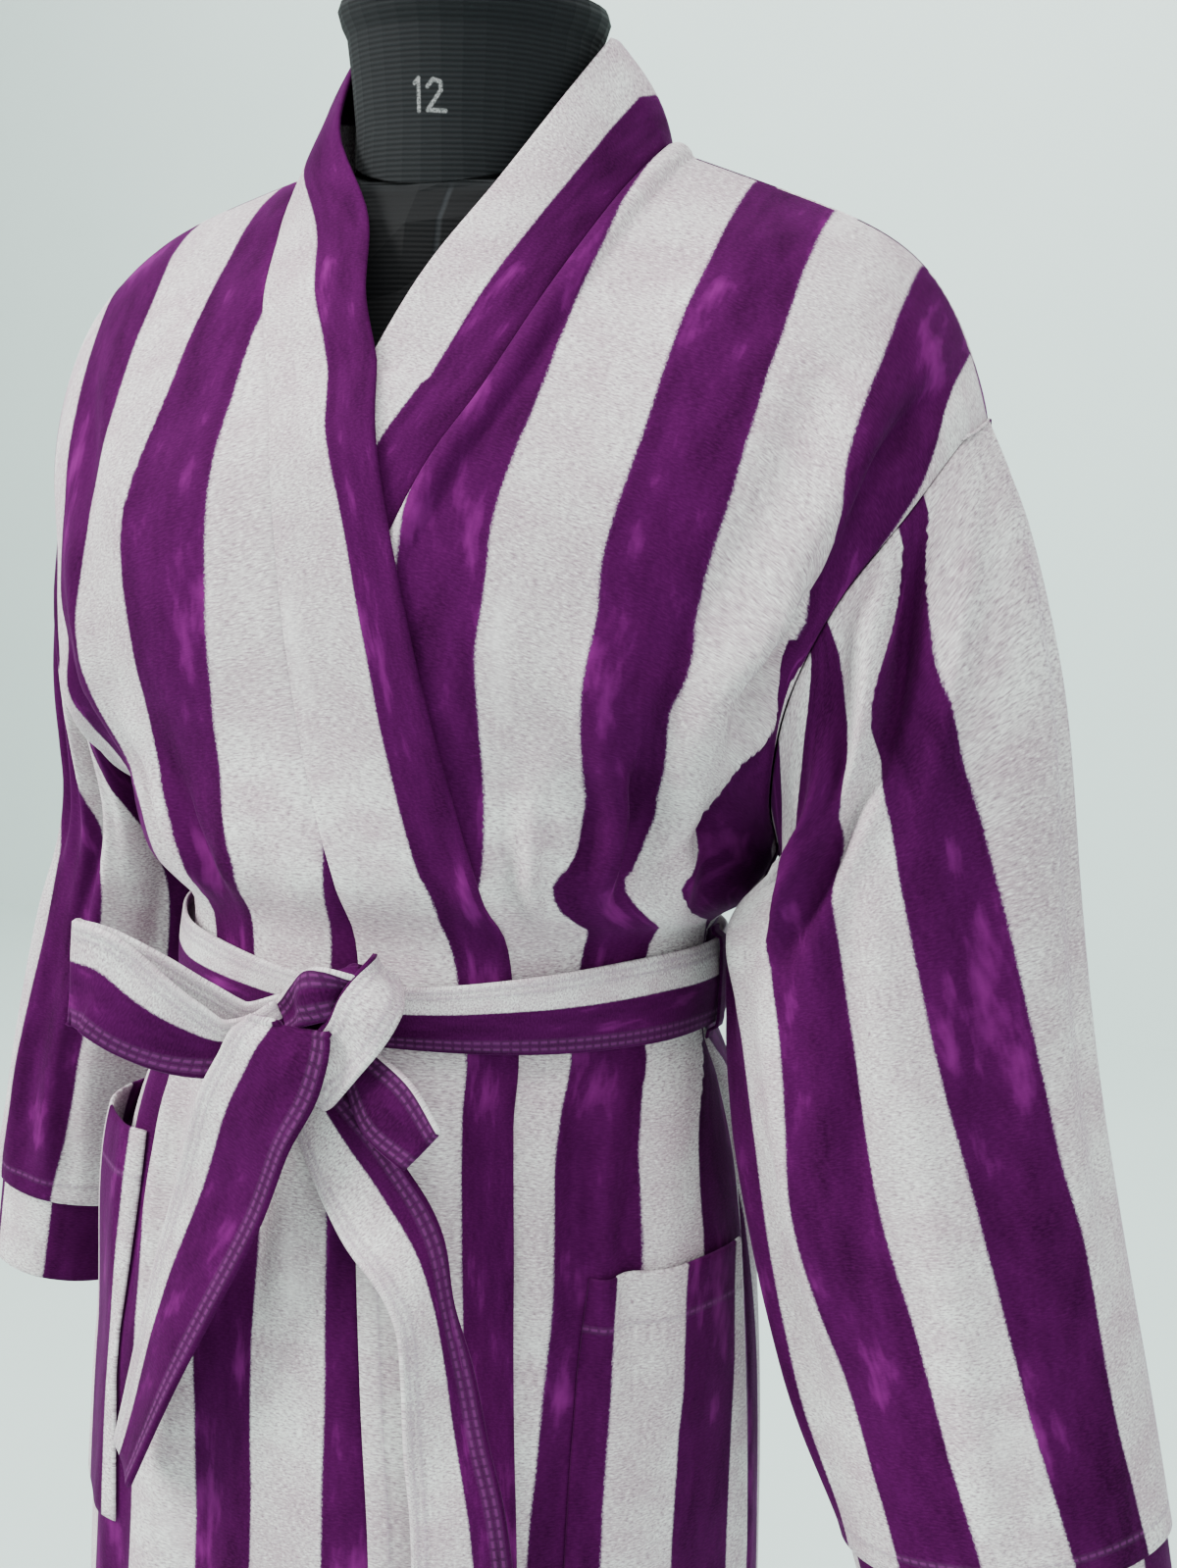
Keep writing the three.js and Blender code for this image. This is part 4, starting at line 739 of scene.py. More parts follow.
def ribbed_material():
    """The form's knitted cover: fine ribs all round it, a front seam and a chalked size."""
    made, t, shader = surface("ribbed_cover", 0.78, Sheen_Weight=0.03, Specular_IOR_Level=0.14)
    place = t.add("TexCoord").outputs["Object"]
    x, y, z = t.split(place)
    below = t.stretch(z, *NECK_EDGE, 1.0, 0.0)
    wobble = t.noise(t.scaled(place, (1, 1, 0.3)), 30, 2)
    rib = t.ripple(t.plus(z, t.times(wobble, 0.0012)), RIB)
    lint = t.noise(place, 900, 2, 0.7)
    # painted shade and light: the cover is darker in the ribs' valleys and lighter on their crests, following their
    # relief
    base = t.blend(t.stretch(rib, -1, 1), (0.0045, 0.0055, 0.0065), (0.009, 0.011, 0.0125))
    base = t.blend(t.stretch(lint, 0.66, 0.8, 0.0, 0.25), base, (0.05, 0.055, 0.06))
    # below the neck's edge the cover is painted darker: partly its own darker cloth, partly painted shade inside
    # the robe's opening
    base = t.blend(below, base, (0.0022, 0.0026, 0.0032))
    seam = t.stretch(t.off_from(x, FRONT_SEAM), 0.0004, 0.0016, 1.0, 0.0)
    seam = t.times(seam, t.times(below, t.maths("LESS_THAN", y, 0.0)))
    base = t.blend(t.times(seam, 0.6), base, (0.02, 0.023, 0.026))
    chalk = 0.0
    for line in CHALK:
        for start, end in zip(line, line[1:]):
            chalk = t.maths("MAXIMUM", chalk, stroke(t, place, start, end))
    dust = t.stretch(t.noise(place, 1400, 2, 0.6), 0.36, 0.60, 0.15, 0.8)
    chalk = t.times(chalk, t.times(dust, t.maths("LESS_THAN", y, -0.03)))
    t.put(t.blend(chalk, base, (0.30, 0.31, 0.31)), shader.inputs["Base Color"])
    t.bump(shader, t.minus(t.plus(rib, t.times(lint, 0.8)), t.times(seam, 3.0)), 0.4, 0.00025)
    return made


# The camera, the stage and the lights
FOCAL_PX, FRAME_HEIGHT, SENSOR = 2210, 1599, 36.0
CAMERA_PLACE = (0.435, -0.944, 1.282)
CAMERA_YAW, CAMERA_PITCH, CAMERA_ROLL = (math.radians(a) for a in (21.3, 8.0, 2.2))
LIGHTS = [  # name, place, aim, size, power, colour
    ("wall_wash", (0, 2.4, 3.6), (0, 4.2, 1.0), (6.0, 1.0), 130, (1, 1, 1)),
    ("window", (-2.3, -1.7, 2.7), (0, 0, 1.15), (1.4, 1.6), 190, (1.0, 0.99, 0.97)),
    ("fill", (2.4, -2.2, 1.8), (0, 0, 1.0), (2.4, 2.4), 66, (0.95, 0.98, 1.0)),
    ("top", (0, -0.6, 3.4), (0, 0, 1.0), (2.2, 2.2), 84, (1, 1, 1)),
]
WORLD_COLOUR, WORLD_STRENGTH = (0.86, 0.93, 0.90, 1), 0.60


def look_camera():
    data = bpy.data.cameras.new("photo_camera")
    data.sensor_fit = "VERTICAL"
    data.sensor_height = data.sensor_width = SENSOR
    data.lens = FOCAL_PX / FRAME_HEIGHT * SENSOR
    data.clip_start, data.clip_end = 0.01, 60
    made = bpy.data.objects.new("photo_camera", data)
    bpy.context.collection.objects.link(made)
    heading = Vector((-math.sin(CAMERA_YAW), math.cos(CAMERA_YAW), 0))
    forward = heading * math.cos(CAMERA_PITCH) + Vector((0, 0, -math.sin(CAMERA_PITCH)))
    right = forward.cross(Vector((0, 0, 1))).normalized()
    up = right.cross(forward)
    c, s = math.cos(CAMERA_ROLL), math.sin(CAMERA_ROLL)
    axes = Matrix((right * c + up * s, up * c - right * s, -forward)).transposed()
    made.matrix_world = Matrix.Translation(CAMERA_PLACE) @ axes.to_4x4()
    bpy.context.scene.camera = made


def area_light(name, place, aim, size, power, colour):
    data = bpy.data.lights.new(name, "AREA")
    data.shape = "RECTANGLE"
    data.size, data.size_y = size
    data.energy = power
    data.color = colour
    made = bpy.data.objects.new(name, data)
    bpy.context.collection.objects.link(made)
    made.location = place
    made.rotation_mode = "QUATERNION"
    made.rotation_quaternion = (Vector(aim) - Vector(place)).to_track_quat("-Z", "Y")


def make_stage():
    wall, t, shader = surface("pale_wall", 0.9)
    cloud = t.noise(t.add("TexCoord").outputs["Object"], 2.2, 4, 0.55)
    t.put(t.blend(cloud, (0.70, 0.845, 0.805), (0.76, 0.89, 0.855)), shader.inputs["Base Color"])
    made = []
    for name, place, tilt in (("floor", (0, 0, 0), 0), ("backdrop", (0, 4.2, 3), 90)):
        bpy.ops.object.select_all(action="DESELECT")
        bpy.ops.mesh.primitive_plane_add(size=16, location=place, rotation=(math.radians(tilt), 0, 0))
        made.append(bpy.context.active_object)
        made[-1].name = name
        made[-1].data.materials.append(wall)


# Creases of the fronts: x and z of both ends, half width, rise (below zero is a valley)
FRONT_CREASES = [
    # from the left arm towards the belt
    (196, 1262, 150, 1196, 9, 5.0), (206, 1250, 160, 1176, 6, -5.0), (170, 1216, 128, 1130, 8, 5.5),
    (150, 1206, 120, 1120, 5, -5.0), (188, 1238, 150, 1160, 5, 4.0), (132, 1156, 116, 1088, 6, -5.5),
    (112, 1156, 104, 1088, 5, -4.5), (96, 1134, 92, 1088, 5, -4.0), (120, 1180, 110, 1100, 6, 5.0),
    (76, 1124, 78, 1086, 6, -3.5), (60, 1112, 62, 1088, 6, 3.0), (142, 1144, 128, 1086, 5, 5.0),
    (186, 1192, 142, 1136, 6, 5.0), (176, 1176, 134, 1116, 5, -5.0), (86, 1150, 84, 1090, 5, 3.5),
    # from the left shoulder
    (216, 1330, 184, 1250, 11, 5.0), (150, 1400, 140, 1330, 16, 1.5), (232, 1330, 206, 1262, 5, -4.0),
    # right side, towards the belt
    (-150, 1240, -110, 1120, 8, 3.5), (-168, 1210, -124, 1110, 6, -3.5), (-130, 1180, -96, 1092, 6, -3.5),
    (-104, 1160, -80, 1090, 6, 3.0), (-84, 1140, -66, 1088, 5, -2.5), (-60, 1130, -50, 1090, 6, 2.0),
    (-120, 1320, -112, 1240, 14, 2.0), (-160, 1330, -150, 1262, 9, -2.0), (-34, 1120, -32, 1090, 6, -2.0),
    # skirt, under the belt
    (60, 1026, 66, 930, 7, -3.0), (88, 1026, 96, 900, 8, 2.5), (104, 1026, 112, 880, 6, -3.5),
    (122, 1026, 132, 860, 6, -3.0), (-30, 1026, -34, 900, 8, -3.0), (-52, 1026, -58, 880, 8, 2.5),
    (-84, 1026, -92, 860, 7, -3.5), (-104, 1026, -116, 880, 7, -3.0), (30, 1026, 30, 940, 8, 2.0),
    (112, 900, 118, 500, 12, -3.0), (-60, 860, -64, 420, 14, -3.5), (-110, 840, -120, 360, 10, -3.5),
    (70, 760, 74, 300, 18, 2.5), (-20, 780, -24, 320, 16, 2.0), (140, 780, 150, 300, 10, -3.0),
    (10, 640, 10, 220, 14, -2.0),
]
BACK_CREASES = [
    (20, 1180, 14, 1088, 7, -3.5), (-22, 1176, -14, 1088, 6, -3.0), (52, 1190, 40, 1088, 6, -3.5),
    (-54, 1186, -40, 1088, 7, -3.5), (100, 1220, 76, 1090, 7, 4.0), (-104, 1220, -78, 1090, 7, 4.0),
    (130, 1200, 100, 1092, 6, -3.5), (-132, 1200, -100, 1092, 6, -3.5), (180, 1300, 120, 1160, 10, 3.5),
    (-180, 1300, -122, 1160, 10, 3.5), (170, 1270, 128, 1150, 6, -3.0), (-170, 1270, -130, 1150, 6, -3.0),
    (8, 1026, 12, 820, 9, -3.5), (-26, 1026, -34, 780, 8, -3.0), (30, 1026, 40, 760, 8, 3.0),
    (72, 1026, 86, 800, 8, -3.5), (-76, 1026, -92, 800, 8, -3.5), (104, 1026, 122, 820, 6, -3.0),
    (-104, 1026, -124, 820, 6, -3.0), (16, 760, 18, 300, 16, -3.5), (-50, 760, -58, 320, 14, 3.0),
    (84, 740, 92, 280, 14, -3.0), (-110, 740, -120, 300, 12, -3.0), (120, 700, 130, 300, 10, 2.5),
]
# Creases of a sleeve: turn and share down at both ends, half width in degrees, rise
LEFT_SLEEVE_CREASES = [
    (128, 0.0, 95, 0.27, 7, -8.0), (112, 0.02, 84, 0.24, 9, 7.0), (142, 0.04, 114, 0.34, 9, 4.0),
    (92, 0.24, 62, 0.44, 6, -7.0), (74, 0.10, 66, 0.40, 8, 6.0), (50, 0.10, 52, 0.40, 6, -5.0),
    (32, 0.12, 40, 0.46, 8, 5.0), (16, 0.2, 26, 0.5, 6, -4.5), (56, 0.46, 58, 0.84, 8, 3.0),
    (98, 0.40, 100, 0.98, 10, 2.5), (84, 0.36, 80, 0.7, 6, -3.0),
    (124, 0.30, 128, 0.80, 9, -2.5), (150, 0.30, 150, 0.95, 12, 2.0), (176, 0.1, 178, 0.7, 10, -2.5),
    (20, 0.50, 26, 0.98, 8, 3.0), (4, 0.3, 8, 0.9, 8, -3.0), (230, 0.06, 244, 0.4, 9, 4.0),
    (256, 0.06, 262, 0.5, 7, -4.5), (286, 0.08, 280, 0.5, 8, 4.0), (310, 0.1, 306, 0.7, 8, -3.5),
    (336, 0.2, 336, 0.9, 9, 3.0), (210, 0.5, 212, 0.98, 10, -2.0), (274, 0.6, 276, 0.98, 10, 2.5),
]
RIGHT_SLEEVE_CREASES = [
    (150, 0.06, 140, 0.4, 8, 4.0), (128, 0.1, 122, 0.5, 6, -4.0), (108, 0.05, 100, 0.45, 8, 4.0),
    (90, 0.1, 86, 0.6, 6, -4.5), (66, 0.08, 70, 0.5, 8, 4.0), (48, 0.15, 50, 0.7, 7, -3.5),
    (30, 0.3, 34, 0.9, 8, 3.0), (170, 0.3, 168, 0.9, 10, -2.5), (110, 0.55, 112, 0.98, 9, 2.5),
    (230, 0.06, 240, 0.4, 9, 4.0), (256, 0.06, 262, 0.5, 7, -4.5), (284, 0.08, 280, 0.5, 8, 4.0),
    (310, 0.1, 306, 0.7, 8, -3.5), (336, 0.2, 336, 0.9, 9, 3.0), (74, 0.6, 76, 0.98, 8, -2.5),
]


def crease_rise(a, b, rows, a_scale=1.0, b_scale=1.0):
    """How far short creases lift or sink the cloth at places (a, b)."""
    total = np.zeros(np.broadcast(a, b).shape)
    for a0, b0, a1, b1, width, rise in rows:
        da, db = (a1 - a0) * a_scale, (b1 - b0) * b_scale
        length2 = da * da + db * db
        pa, pb = (a - a0) * a_scale, (b - b0) * b_scale
        t = np.clip((pa * da + pb * db) / length2, 0, 1)
        side = (pa * db - pb * da) / math.sqrt(length2)
        end = np.hypot(pa - t * da, pb - t * db) - np.abs(side)
        bent = side + width * 0.35 * np.sin(t * math.pi * 1.3 + rise)
        profile = np.exp(-(bent / width)**2) - 0.35 * np.exp(-((np.abs(bent) - 1.7 * width) / width)**2)
        taper = np.sin(math.pi * np.clip(t * 0.92 + 0.06, 0, 1))**0.8
        total += rise * profile * taper * np.exp(-np.maximum(0, end) / 6)
    return total


def waves(a, b, size, seed):
    """Low, wide unevenness: a few sine waves with fixed phases."""
    total = 0
    for k in range(5):
        turn = seed * 1.7 + k * 2.399
        reach = size * (0.6 + 0.33 * k)
        total = total + np.sin((a * math.cos(turn) + b * 0.45 * math.sin(turn)) / reach + seed + k * k)
    return total / 5


UNDER_BELT = -0.6  # how far the belt presses the cloth in


def clear_of_belt(z):
    return 1 - step(1016, 1030, z) * (1 - step(1078, 1094, z))


def under_belt(x, z):
    return UNDER_BELT * (1 - clear_of_belt(z)) + 0 * np.asarray(x)


def front_relief(x, z):
    made = 1.7 * crease_rise(x, z, FRONT_CREASES) + 1.7 * waves(x, z, 26, 1.3)
    return made * clear_of_belt(z) + under_belt(x, z)


def back_relief(x, z):
    made = 1.3 * crease_rise(x, z, BACK_CREASES) + 1.5 * waves(x, z, 28, 4.1)
    return made * clear_of_belt(z) * (1 - step(1380, 1440, z)) + under_belt(x, z)


def sleeve_relief(rows, seed):
    def relief(turn, down):
        made = 0.9 * waves(turn * 1.2, down * 380, 24, seed)
        for shift in (-360, 0, 360):
            made = made + 1.6 * crease_rise(turn + shift, np.full(len(turn), down), rows, 1.2, 380)
        return made * float(step(0, 0.06, down))
    return relief


def from_edges(grid, edges):
    """How far each point lies from the nearest of the named edges."""
    across = row_lengths(grid)
    along = row_lengths(grid.swapaxes(0, 1)).T
    away = {"left": across, "right": across[:, -1:] - across, "last": along[-1:] - along}
    return np.minimum.reduce([away[edge] for edge in edges])


def sunk_seams(grid, flip, edges, depth=0.9, reach=2.6):
    """Draws the cloth down along its sewn edges, where the seam holds it."""
    down = depth * np.exp(-(from_edges(grid, edges) / reach)**2)
    return grid - grid_normals(grid, False, flip) * down[..., None]


def held_at_seams(plain, creased, edges, reach=16):
    """Lets the creases die out before the edges that are sewn."""
    lengths, along = row_lengths(plain), down_lengths(plain)
    kept = step(1, reach, lengths[:, -1:] - lengths) * step(1, reach, along[-1] - along)[:, None]
    if "left" in edges:
        kept = kept * step(1, reach, lengths)
    return plain + (creased - plain) * kept[..., None]


def collar_ridge(grid, low, top, width, rise):
    """The thick seam that stands up beside the left band, from low to top."""
    share = np.clip(row_lengths(grid) / width, 0, 1)
    fade = step(low, low + 40, grid[..., 2]) * (1 - step(top - 20, top, grid[..., 2]))
    return grid + grid_normals(grid, False, False) * (rise * np.sin(math.pi * share)**0.55 * fade)[..., None]


velvet = velvet_material()


def sheet(name, grid, uv, nodes, flat, held, rests_on, **how):
    """A piece of cloth, parented to the root's empty, with the parts it stands for hidden."""
    made = cloth(name, grid, uv, **how)
    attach(made, "root")
    if nodes:
        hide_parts(*nodes)


# The robe's panels
SEWN = ("left", "right", "last")
levels = levels_between(LEVEL["hem"], TOP, 6.5)
levels = np.array(sorted(list(levels) + [TOP - 0.02, TOP - 0.06, 0.012, 0.03]))
across = spread(44)
ridged = np.unique(np.concatenate([across, np.linspace(0, 0.11, 14)]))
for name, side, edges, steps, lines, flat in (
        ("left", 1, LEFT_EDGES, ridged, FRONT_LEFT_LINES, (0.27, 1.29)),
        ("right", -1, RIGHT_EDGES, across, FRONT_RIGHT_LINES, (0.31, 1.29))):
    plain, creased = (front_grid(side, edges, levels, steps, relief) for relief in (under_belt, front_relief))
    grid = sunk_seams(held_at_seams(plain, creased, SEWN[1:]), side < 0, SEWN)
    if side > 0:
        grid = collar_ridge(grid, 1236, 1462, 13, 4.6)
    sheet(f"robe_front_{name}", grid, panel_uv(grid, lines, side), [f"front_{name}"], flat, "hung",
          ["form_torso"], flip=side < 0)
plain, creased = (back_grid(levels, spread(40, False), 12, relief) for relief in (under_belt, back_relief))
grid = sunk_seams(held_at_seams(plain, creased, SEWN), True, SEWN)
lengths = row_lengths(grid)
middle = np.array([np.interp(4.0, row[:, 0], lengths[i]) for i, row in enumerate(grid)])
uv = pattern(lengths - middle[:, None] + 20, down_lengths(grid)[:, None])
sheet("robe_back", grid, uv, ["back"], (0.52, 1.30), "hung", ["form_torso"], flip=True)

# The collar bands
band_shares = np.array([0, 0.02, 0.05, 0.12, 0.2, 0.3, 0.4, 0.5, 0.6, 0.7, 0.8, 0.9, 0.96, 1.0])
for name, side, edges, stands, line in (("left", 1, LEFT_EDGES, LEFT_STAND, LEFT_BAND_LINE),
                                        ("right", -1, RIGHT_EDGES, RIGHT_STAND, RIGHT_BAND_LINE)):
    grid = sunk_seams(band_grid(side, edges, stands, levels, band_shares, 16, front_relief), side > 0, SEWN[:1])
    sewn = np.where(grid[..., 2] < 1040, row_lengths(grid) - 10, FAR)
    sheet(f"robe_band_{name}", grid, band_uv(grid, line, side < 0), [f"neckband_{name}"], (0.07, 1.50), "hung",
          ["form_neck"], flip=side > 0, extra=one_row(sewn, down_lengths(grid)[:, None]))

# Sleeves and cuffs
SLEEVE_HEM = 10  # from the edge to its stitches
CUFF_PLACES = [-16, -8, 0, 6, 14, 22, 30, 38, 43, 45]
for name, side, rows, folds, creases, lines, flat, cuff_width, seed in (
        ("left", 1, LEFT_SLEEVE, LEFT_SLEEVE_FOLDS, LEFT_SLEEVE_CREASES, LEFT_SLEEVE_LINES, (0.50, 0.42),
         0.45, 2.2),
        ("right", -1, RIGHT_SLEEVE, RIGHT_SLEEVE_FOLDS, RIGHT_SLEEVE_CREASES, RIGHT_SLEEVE_LINES, (0.46, 0.34),
         0.42, 5.3)):
    grid = sleeve_grid(side, rows, folds, sleeve_relief(creases, seed))
    smooth = sleeve_grid(side, rows, folds, lambda turn, down: 0 * turn)
    uv = ring_uv(grid, smooth, lines)
    how = {"closed": True, "flip": side > 0}
    sheet(f"robe_sleeve_{name}", grid, uv, [f"sleeve_{name}"], flat, "hung", ["form_torso"],
          extra=one_row(uv[-1:, :, 1] - uv[..., 1] - SLEEVE_HEM, uv[..., 0]), **how)
    last = np.repeat(uv[-1:], len(CUFF_PLACES), 0)
    cuff_uv = pattern(last[..., 0] + 40, last[..., 1] + np.array(CUFF_PLACES)[:, None])
    sheet(f"robe_cuff_{name}", cuff_grid(grid, CUFF_PLACES), cuff_uv, [f"cuff_{name}"], (cuff_width, 0.061),
          "hung", [f"robe_sleeve_{name}"], **how)


# Patch pockets, made from the fronts' own points, moved out
def level_at(z):
    fine = np.arange(0, LEVEL["belt"], 0.01)
    return float(np.interp(z, [section("z_mid", f) for f in fine], fine))


POCKET_WIDTH, POCKET_DEPTH, POCKET_HEM = 112, 185, 22


def pocket_grid(side, inner, top, gape, rows, columns):
    made = []
    for up in np.linspace(0, 1, rows):
        level = level_at(mix(top - POCKET_DEPTH, top, up))
        middle, half, front = section("shift", level), section("half", level), section("front", level)
        start = math.asin(side * (inner - middle) / half)
        share = np.linspace(0, 1, columns)
        place = np.minimum(start + POCKET_WIDTH / ((half + front) / 2) * share, math.pi / 2 - 0.08)
        x = middle + side * half * np.sin(place)
        p = body_points(level, x, "front", front_relief)
        out = np.stack([side * np.sin(place) * front / half, -np.cos(place), 0 * place], -1)
        out /= np.linalg.norm(out, axis=1, keepdims=True)
        stands = LAYER + gape * np.sin(math.pi * share) * float(step(0.4, 1, up))
        made.append(p + out * (stands + (lap_out(level, x) if side < 0 else 0))[:, None])
    return np.array(made)


for name, side, inner, top, gape, first in (("left", 1, 112, 935, 2, 25), ("right", -1, -116, 968, 11, -9)):
    grid = pocket_grid(side, inner, top, gape, 48, 30)
    lengths = row_lengths(grid)
    uv = pattern(lengths + first, down_lengths(grid)[:, None])
    sheet(f"robe_pocket_{name}", grid, uv, [f"pocket_{name}"], (0.112, 0.185), "stretched",
          [f"robe_front_{name}"], flip=side < 0, extra=one_row(uv[-1:, :, 1] - uv[..., 1] - POCKET_HEM, lengths))


# The belt, and the straps of its bow
BELT_Z = 1053
STRAP_WALL = 3.0
STRAP_CUP = 1.6  # how far a strap cups between its edges


def belt_grid(turns, shares):
    half0 = section("half", LEVEL["belt"])
    knot_turn = math.asin(12 / half0)
    turn = knot_turn + 2 * math.pi * np.arange(turns) / turns
    rows = []
    near = np.exp(-(np.sin((turn - knot_turn) / 2) * 3.2)**2)
    half = mix(20, 13, near)
    for share in shares:
        out = WALL + 1.9 + 1.5 * (1 - share**2) + 0.5 * np.sin(turn * 9 + share * 2) * (1 - near)
        x = half0 * np.sin(turn)
        front = np.cos(turn) > 0
        lap = np.where(front, lap_out(LEVEL["belt"], x) * (1 - step(80, 124, x)), 0)
        middle = np.where(front, section("front", LEVEL["belt"]), section("back", LEVEL["belt"])) + out + lap
        rows.append(np.stack([(half0 + out + lap) * np.sin(turn), -middle * np.cos(turn),
                              BELT_Z + half * share - 6 * near], -1))
    return np.array(rows)


shares = np.array([-1, -0.95, -0.85, -0.7, -0.5, -0.3, -0.1, 0.1, 0.3, 0.5, 0.7, 0.85, 0.95, 1.0])
grid = belt_grid(150, shares)
lengths = row_lengths(np.concatenate([grid, grid[:, :1]], 1))
u = np.where(shares > 0.2, -(shares - 0.2) / 0.8, (0.2 - shares) / 1.2) * COLOUR_WIDTH
uv = np.stack([np.broadcast_to(u[:, None], lengths.shape), lengths], -1)
sewn = pattern((1 - np.abs(shares)[:, None] * np.ones(lengths.shape)) * 19, lengths)
sheet("belt_round", grid, uv, ["belt_waist"], (0.80, 0.04), "stretched", ["robe_front_right"], closed=True,
      extra=sewn)


def strap_grid(rows, shares, upper, wave, splits=10):
    """A strap along its route; upper is the way one of its edges faces where it folds over, or None."""
    total = (len(rows) - 1) * splits
    table = [np.array(row, float) for row in rows]
    middle = np.array([curve(table, n / splits) for n in range(total + 1)])
    made = []
    for n in range(total + 1):
        way = middle[min(total, n + 1)][:3] - middle[max(0, n - 1)][:3]
        way /= np.linalg.norm(way)
        toward = np.array((0, -1, 0) if upper is None else upper, float)
        toward -= way * (way @ toward)
        toward /= np.linalg.norm(toward)
        across = np.cross(way, toward) if upper is None else toward
        lean = math.radians(middle[n][4])
        across = across * math.cos(lean) + np.cross(way, across) * math.sin(lean)
        out = np.cross(across, way)
        # the cloth cups a little between its two edges, more in some places than in others
        bow = wave * (1 - shares**2) * math.sin(n / splits * 1.9 + 0.6)
        made.append(middle[n][:3] + across * (middle[n][3] * shares)[:, None] + out * bow[:, None])
    return np.array(made)


BOW_LOOP = [
    (-14.3, -141, 1045, 10, 0), (-26, -146, 1037, 10, 0), (-41, -151, 1032, 12, 0), (-58, -158, 1037, 17, 0),
    (-76, -163, 1046, 21, 0), (-94, -166, 1057, 23, 0), (-107, -163, 1059, 23, 0), (-110, -158, 1059, 23, 0),
    (-100, -153, 1057, 22, 0), (-80, -148, 1050, 20, 0), (-58, -142, 1042, 17, 0), (-36, -136, 1036, 14, 0),
    (-16, -130, 1044, 11, 0),
]
TAIL_LONG = [
    (-6, -146.2, 1036, 15, 0), (-6, -149, 1045, 18, 0), (-6, -154, 1047, 20, 0), (-8, -158, 1038, 23, 0),
    (-14, -159, 1024, 25, 4), (-25, -160, 1002, 25, 8), (-38, -157, 966, 24, 12), (-55, -156, 924, 22, 22),
    (-72, -155, 880, 19, 34), (-88, -154, 834, 15, 44),
]
TAIL_UNDER = [
    (-1, -138.4, 1010, 15, 0), (17, -143, 990, 20, 0), (33, -146, 972, 20, -10), (50, -148, 953, 17, -38),
    (61, -150, 930, 14, -54), (68, -151, 904, 15, -44), (74, -153, 872, 17, -30), (81, -154, 838, 20, -18),
    (86, -154, 784, 23, -8), (88, -154, 728, 25, 0),
]
END_SHORT = [(22, -143, 1031, 10, 0), (39, -149, 1016, 16, 0), (56, -151, 1001, 12, 0)]
for name, node, rows, upper, split, last_purple, flat in (
        ("belt_loop_front", "belt_bow", BOW_LOOP, (0, 0, 1), 0.60, False, (0.046, 0.26)),
        ("belt_tail_left", "belt_tail_long", TAIL_LONG, (-1, 0, 0), 0.66, False, (0.046, 0.26)),
        ("belt_tail_right", "belt_tail_under", TAIL_UNDER, None, 0.40, False, (0.042, 0.32)),
        ("belt_end", "belt_end_short", END_SHORT, None, 0.04, True, (0.034, 0.05))):
    grid = strap_grid(rows, shares, upper, STRAP_CUP)
    sheet(name, grid, strip_uv(grid, split, last_purple), [node], flat, "hung", ["belt_core"], wall=STRAP_WALL,
          extra=edge_rows(grid))


# The knot: a purple core with folds, a light wrap over it and the strap that turns over its top
core_rows, core_round = 34, 44
core = []
for i in range(core_rows):
    turn = math.pi * (0.06 + 0.88 * i / (core_rows - 1))
    ring = []
    for j in range(core_round):
        around = 2 * math.pi * j / core_round
        fold = 1 + 0.10 * math.sin(3 * around + 2.2 * math.cos(turn)) + 0.05 * math.sin(7 * around - 3 * turn)
        wide = math.sin(turn)**0.6 * fold
        along, side, face = -26 * math.cos(turn), 17.5 * wide * math.cos(around), 11.5 * wide * math.sin(around)
        ring.append((12 + 0.42 * along - 0.9 * side, -134.5 - face, 1047 + 0.9 * along + 0.42 * side))
    core.append(ring)
across_core = np.linspace(6, 34, core_round + 1)[None, :].repeat(core_rows, 0)
sheet("belt_core", np.array(core), pattern(across_core, np.linspace(0, 60, core_rows)[:, None]), ["belt_knot"],
      (0.09, 0.05), "folded", ["belt_round"], closed=True)
KNOT_WRAP = [
    (24, -124, 1070, 8, 0), (29, -136, 1068, 10, 0), (30, -146, 1060, 12, 0), (25, -150, 1048, 12.5, 0),
    (16, -151, 1036, 13, 0), (6, -149, 1026, 13, 0), (-1, -142, 1020, 12, 0), (-3, -132, 1019, 10, 0),
]
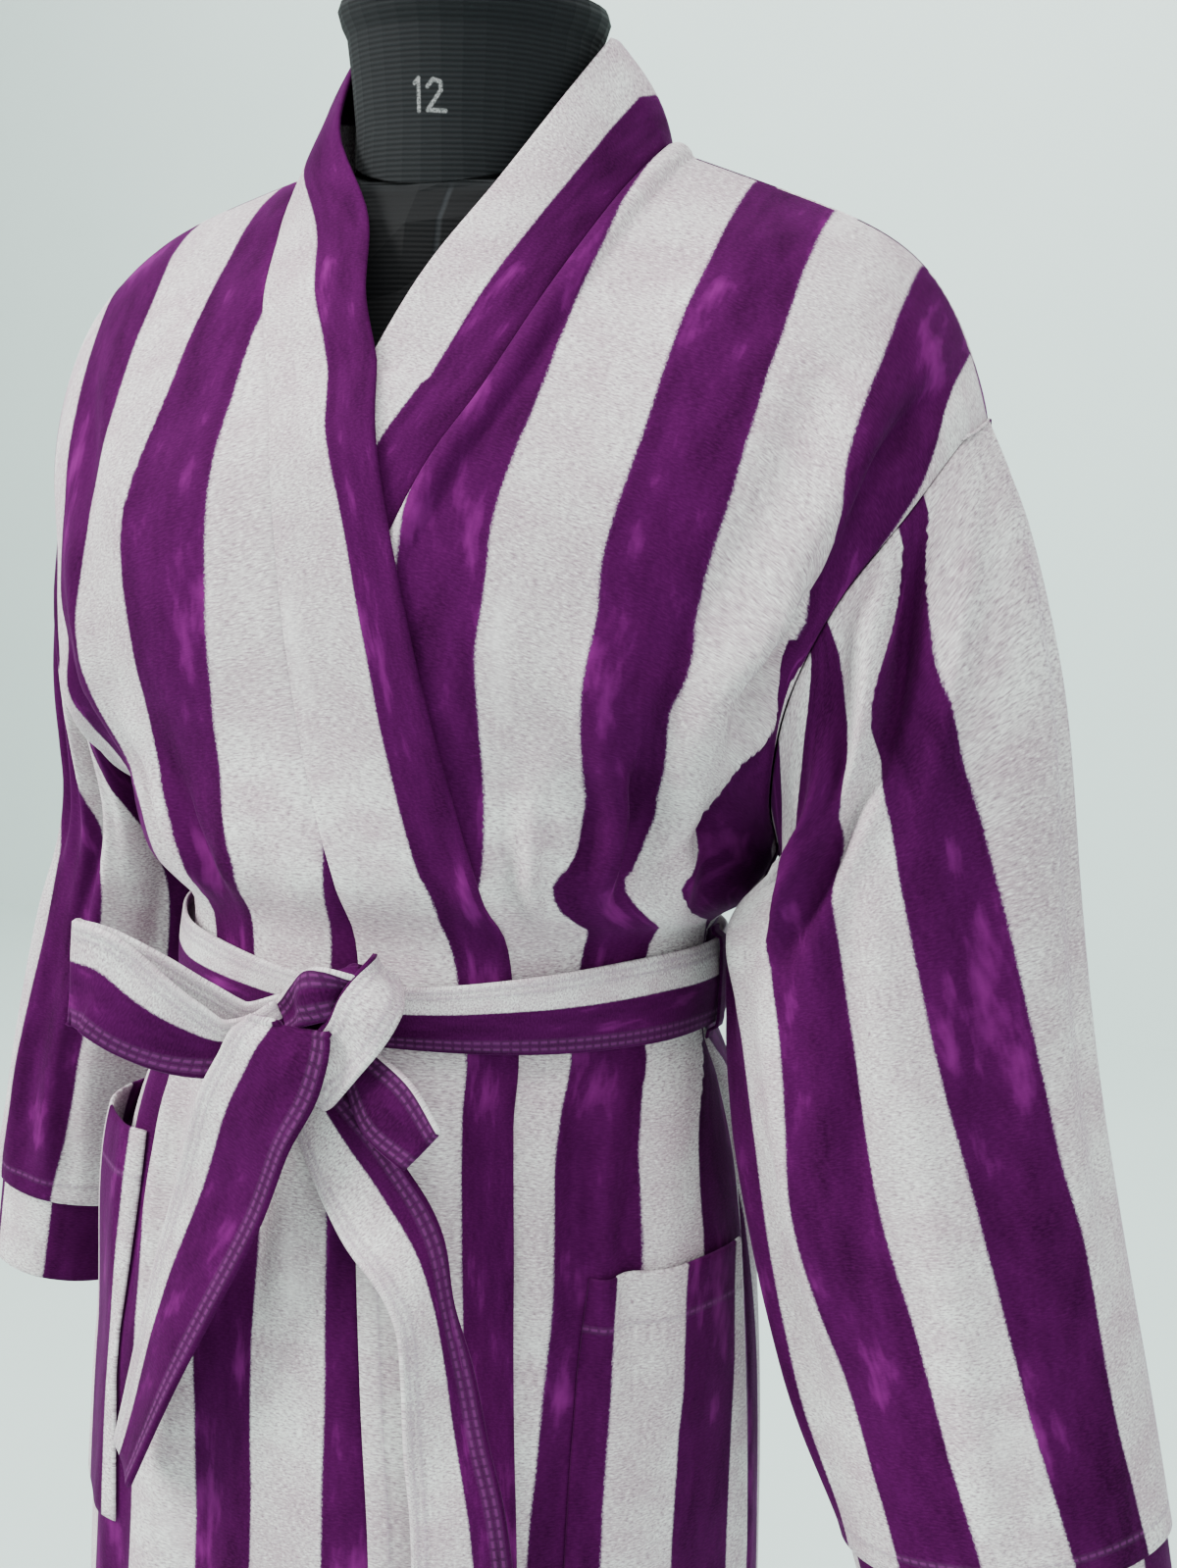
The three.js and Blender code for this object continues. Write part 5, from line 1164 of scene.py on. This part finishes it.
KNOT_FOLD = [
    (-14, -142, 1046, 9, 0), (-6, -145, 1054, 10, 0), (3, -149, 1060, 10, 0), (11, -150, 1063, 10.5, 0),
    (18, -147, 1062, 10, 0), (22, -139, 1060, 9, 0),
]
for name, rows, upper, split, last_purple, flat in (
        ("belt_wrap", KNOT_WRAP, (0.72, 0, -0.69), 0.02, False, (0.025, 0.08)),
        ("belt_fold", KNOT_FOLD, (0.3, 0, 0.95), 0.98, False, (0.02, 0.05))):
    grid = strap_grid(rows, shares, upper, 2 * STRAP_CUP)
    sheet(name, grid, strip_uv(grid, split, last_purple), [], flat, "folded", ["belt_core"], wall=STRAP_WALL,
          extra=edge_rows(grid))


# Belt loops at the side seams: rise and distance out
LOOP = [
    (-27, 2.1), (-25.5, 2.3), (-24, 2.7), (-22.6, 4.6), (-21.5, 6.5), (-18, 7.2), (-9, 7.5), (0, 7.6), (9, 7.5),
    (18, 7.2), (21.5, 6.5), (22.4, 4.9), (23.5, 3.2), (24.8, 2.8), (26, 2.7),
]
half = section("half", LEVEL["belt"])
for name, side in (("left", 1), ("right", -1)):
    grid = np.array([[(side * (half + out), side * along, BELT_Z + rise) for along in np.linspace(-4, 4, 7)]
                     for rise, out in LOOP])
    sheet(f"belt_keeper_{name}", grid, pattern(np.full(grid.shape[:2], 20.0), grid[..., 2]),
          [f"belt_loop_{name}"], (0.010, 0.062), "stretched", ["belt_round"], wall=1.4)

# The form and its stand
ribbed = ribbed_material()
steel = plain_material("brushed_steel", (0.55, 0.56, 0.58), 0.28, 1.0, 0.06, 220, 0.0002)
iron = plain_material("black_enamel", (0.020, 0.021, 0.023), 0.4, 0.0, 0.25, 60, 0.0004)
for node_name, material in (("form_torso", ribbed), ("form_neck", ribbed), ("form_cap", steel),
                            ("stand_pole", steel), ("stand_base", iron)):
    for slot_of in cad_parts[node_name].material_slots:
        slot_of.material = material

# The photograph's view
look_camera()
make_stage()
for light in LIGHTS:
    area_light(*light)
world = bpy.data.worlds.new("soft_studio")
world.use_nodes = True
background = next(n for n in world.node_tree.nodes if n.type == "BACKGROUND")
background.inputs[0].default_value = WORLD_COLOUR
background.inputs[1].default_value = WORLD_STRENGTH
bpy.context.scene.world = world
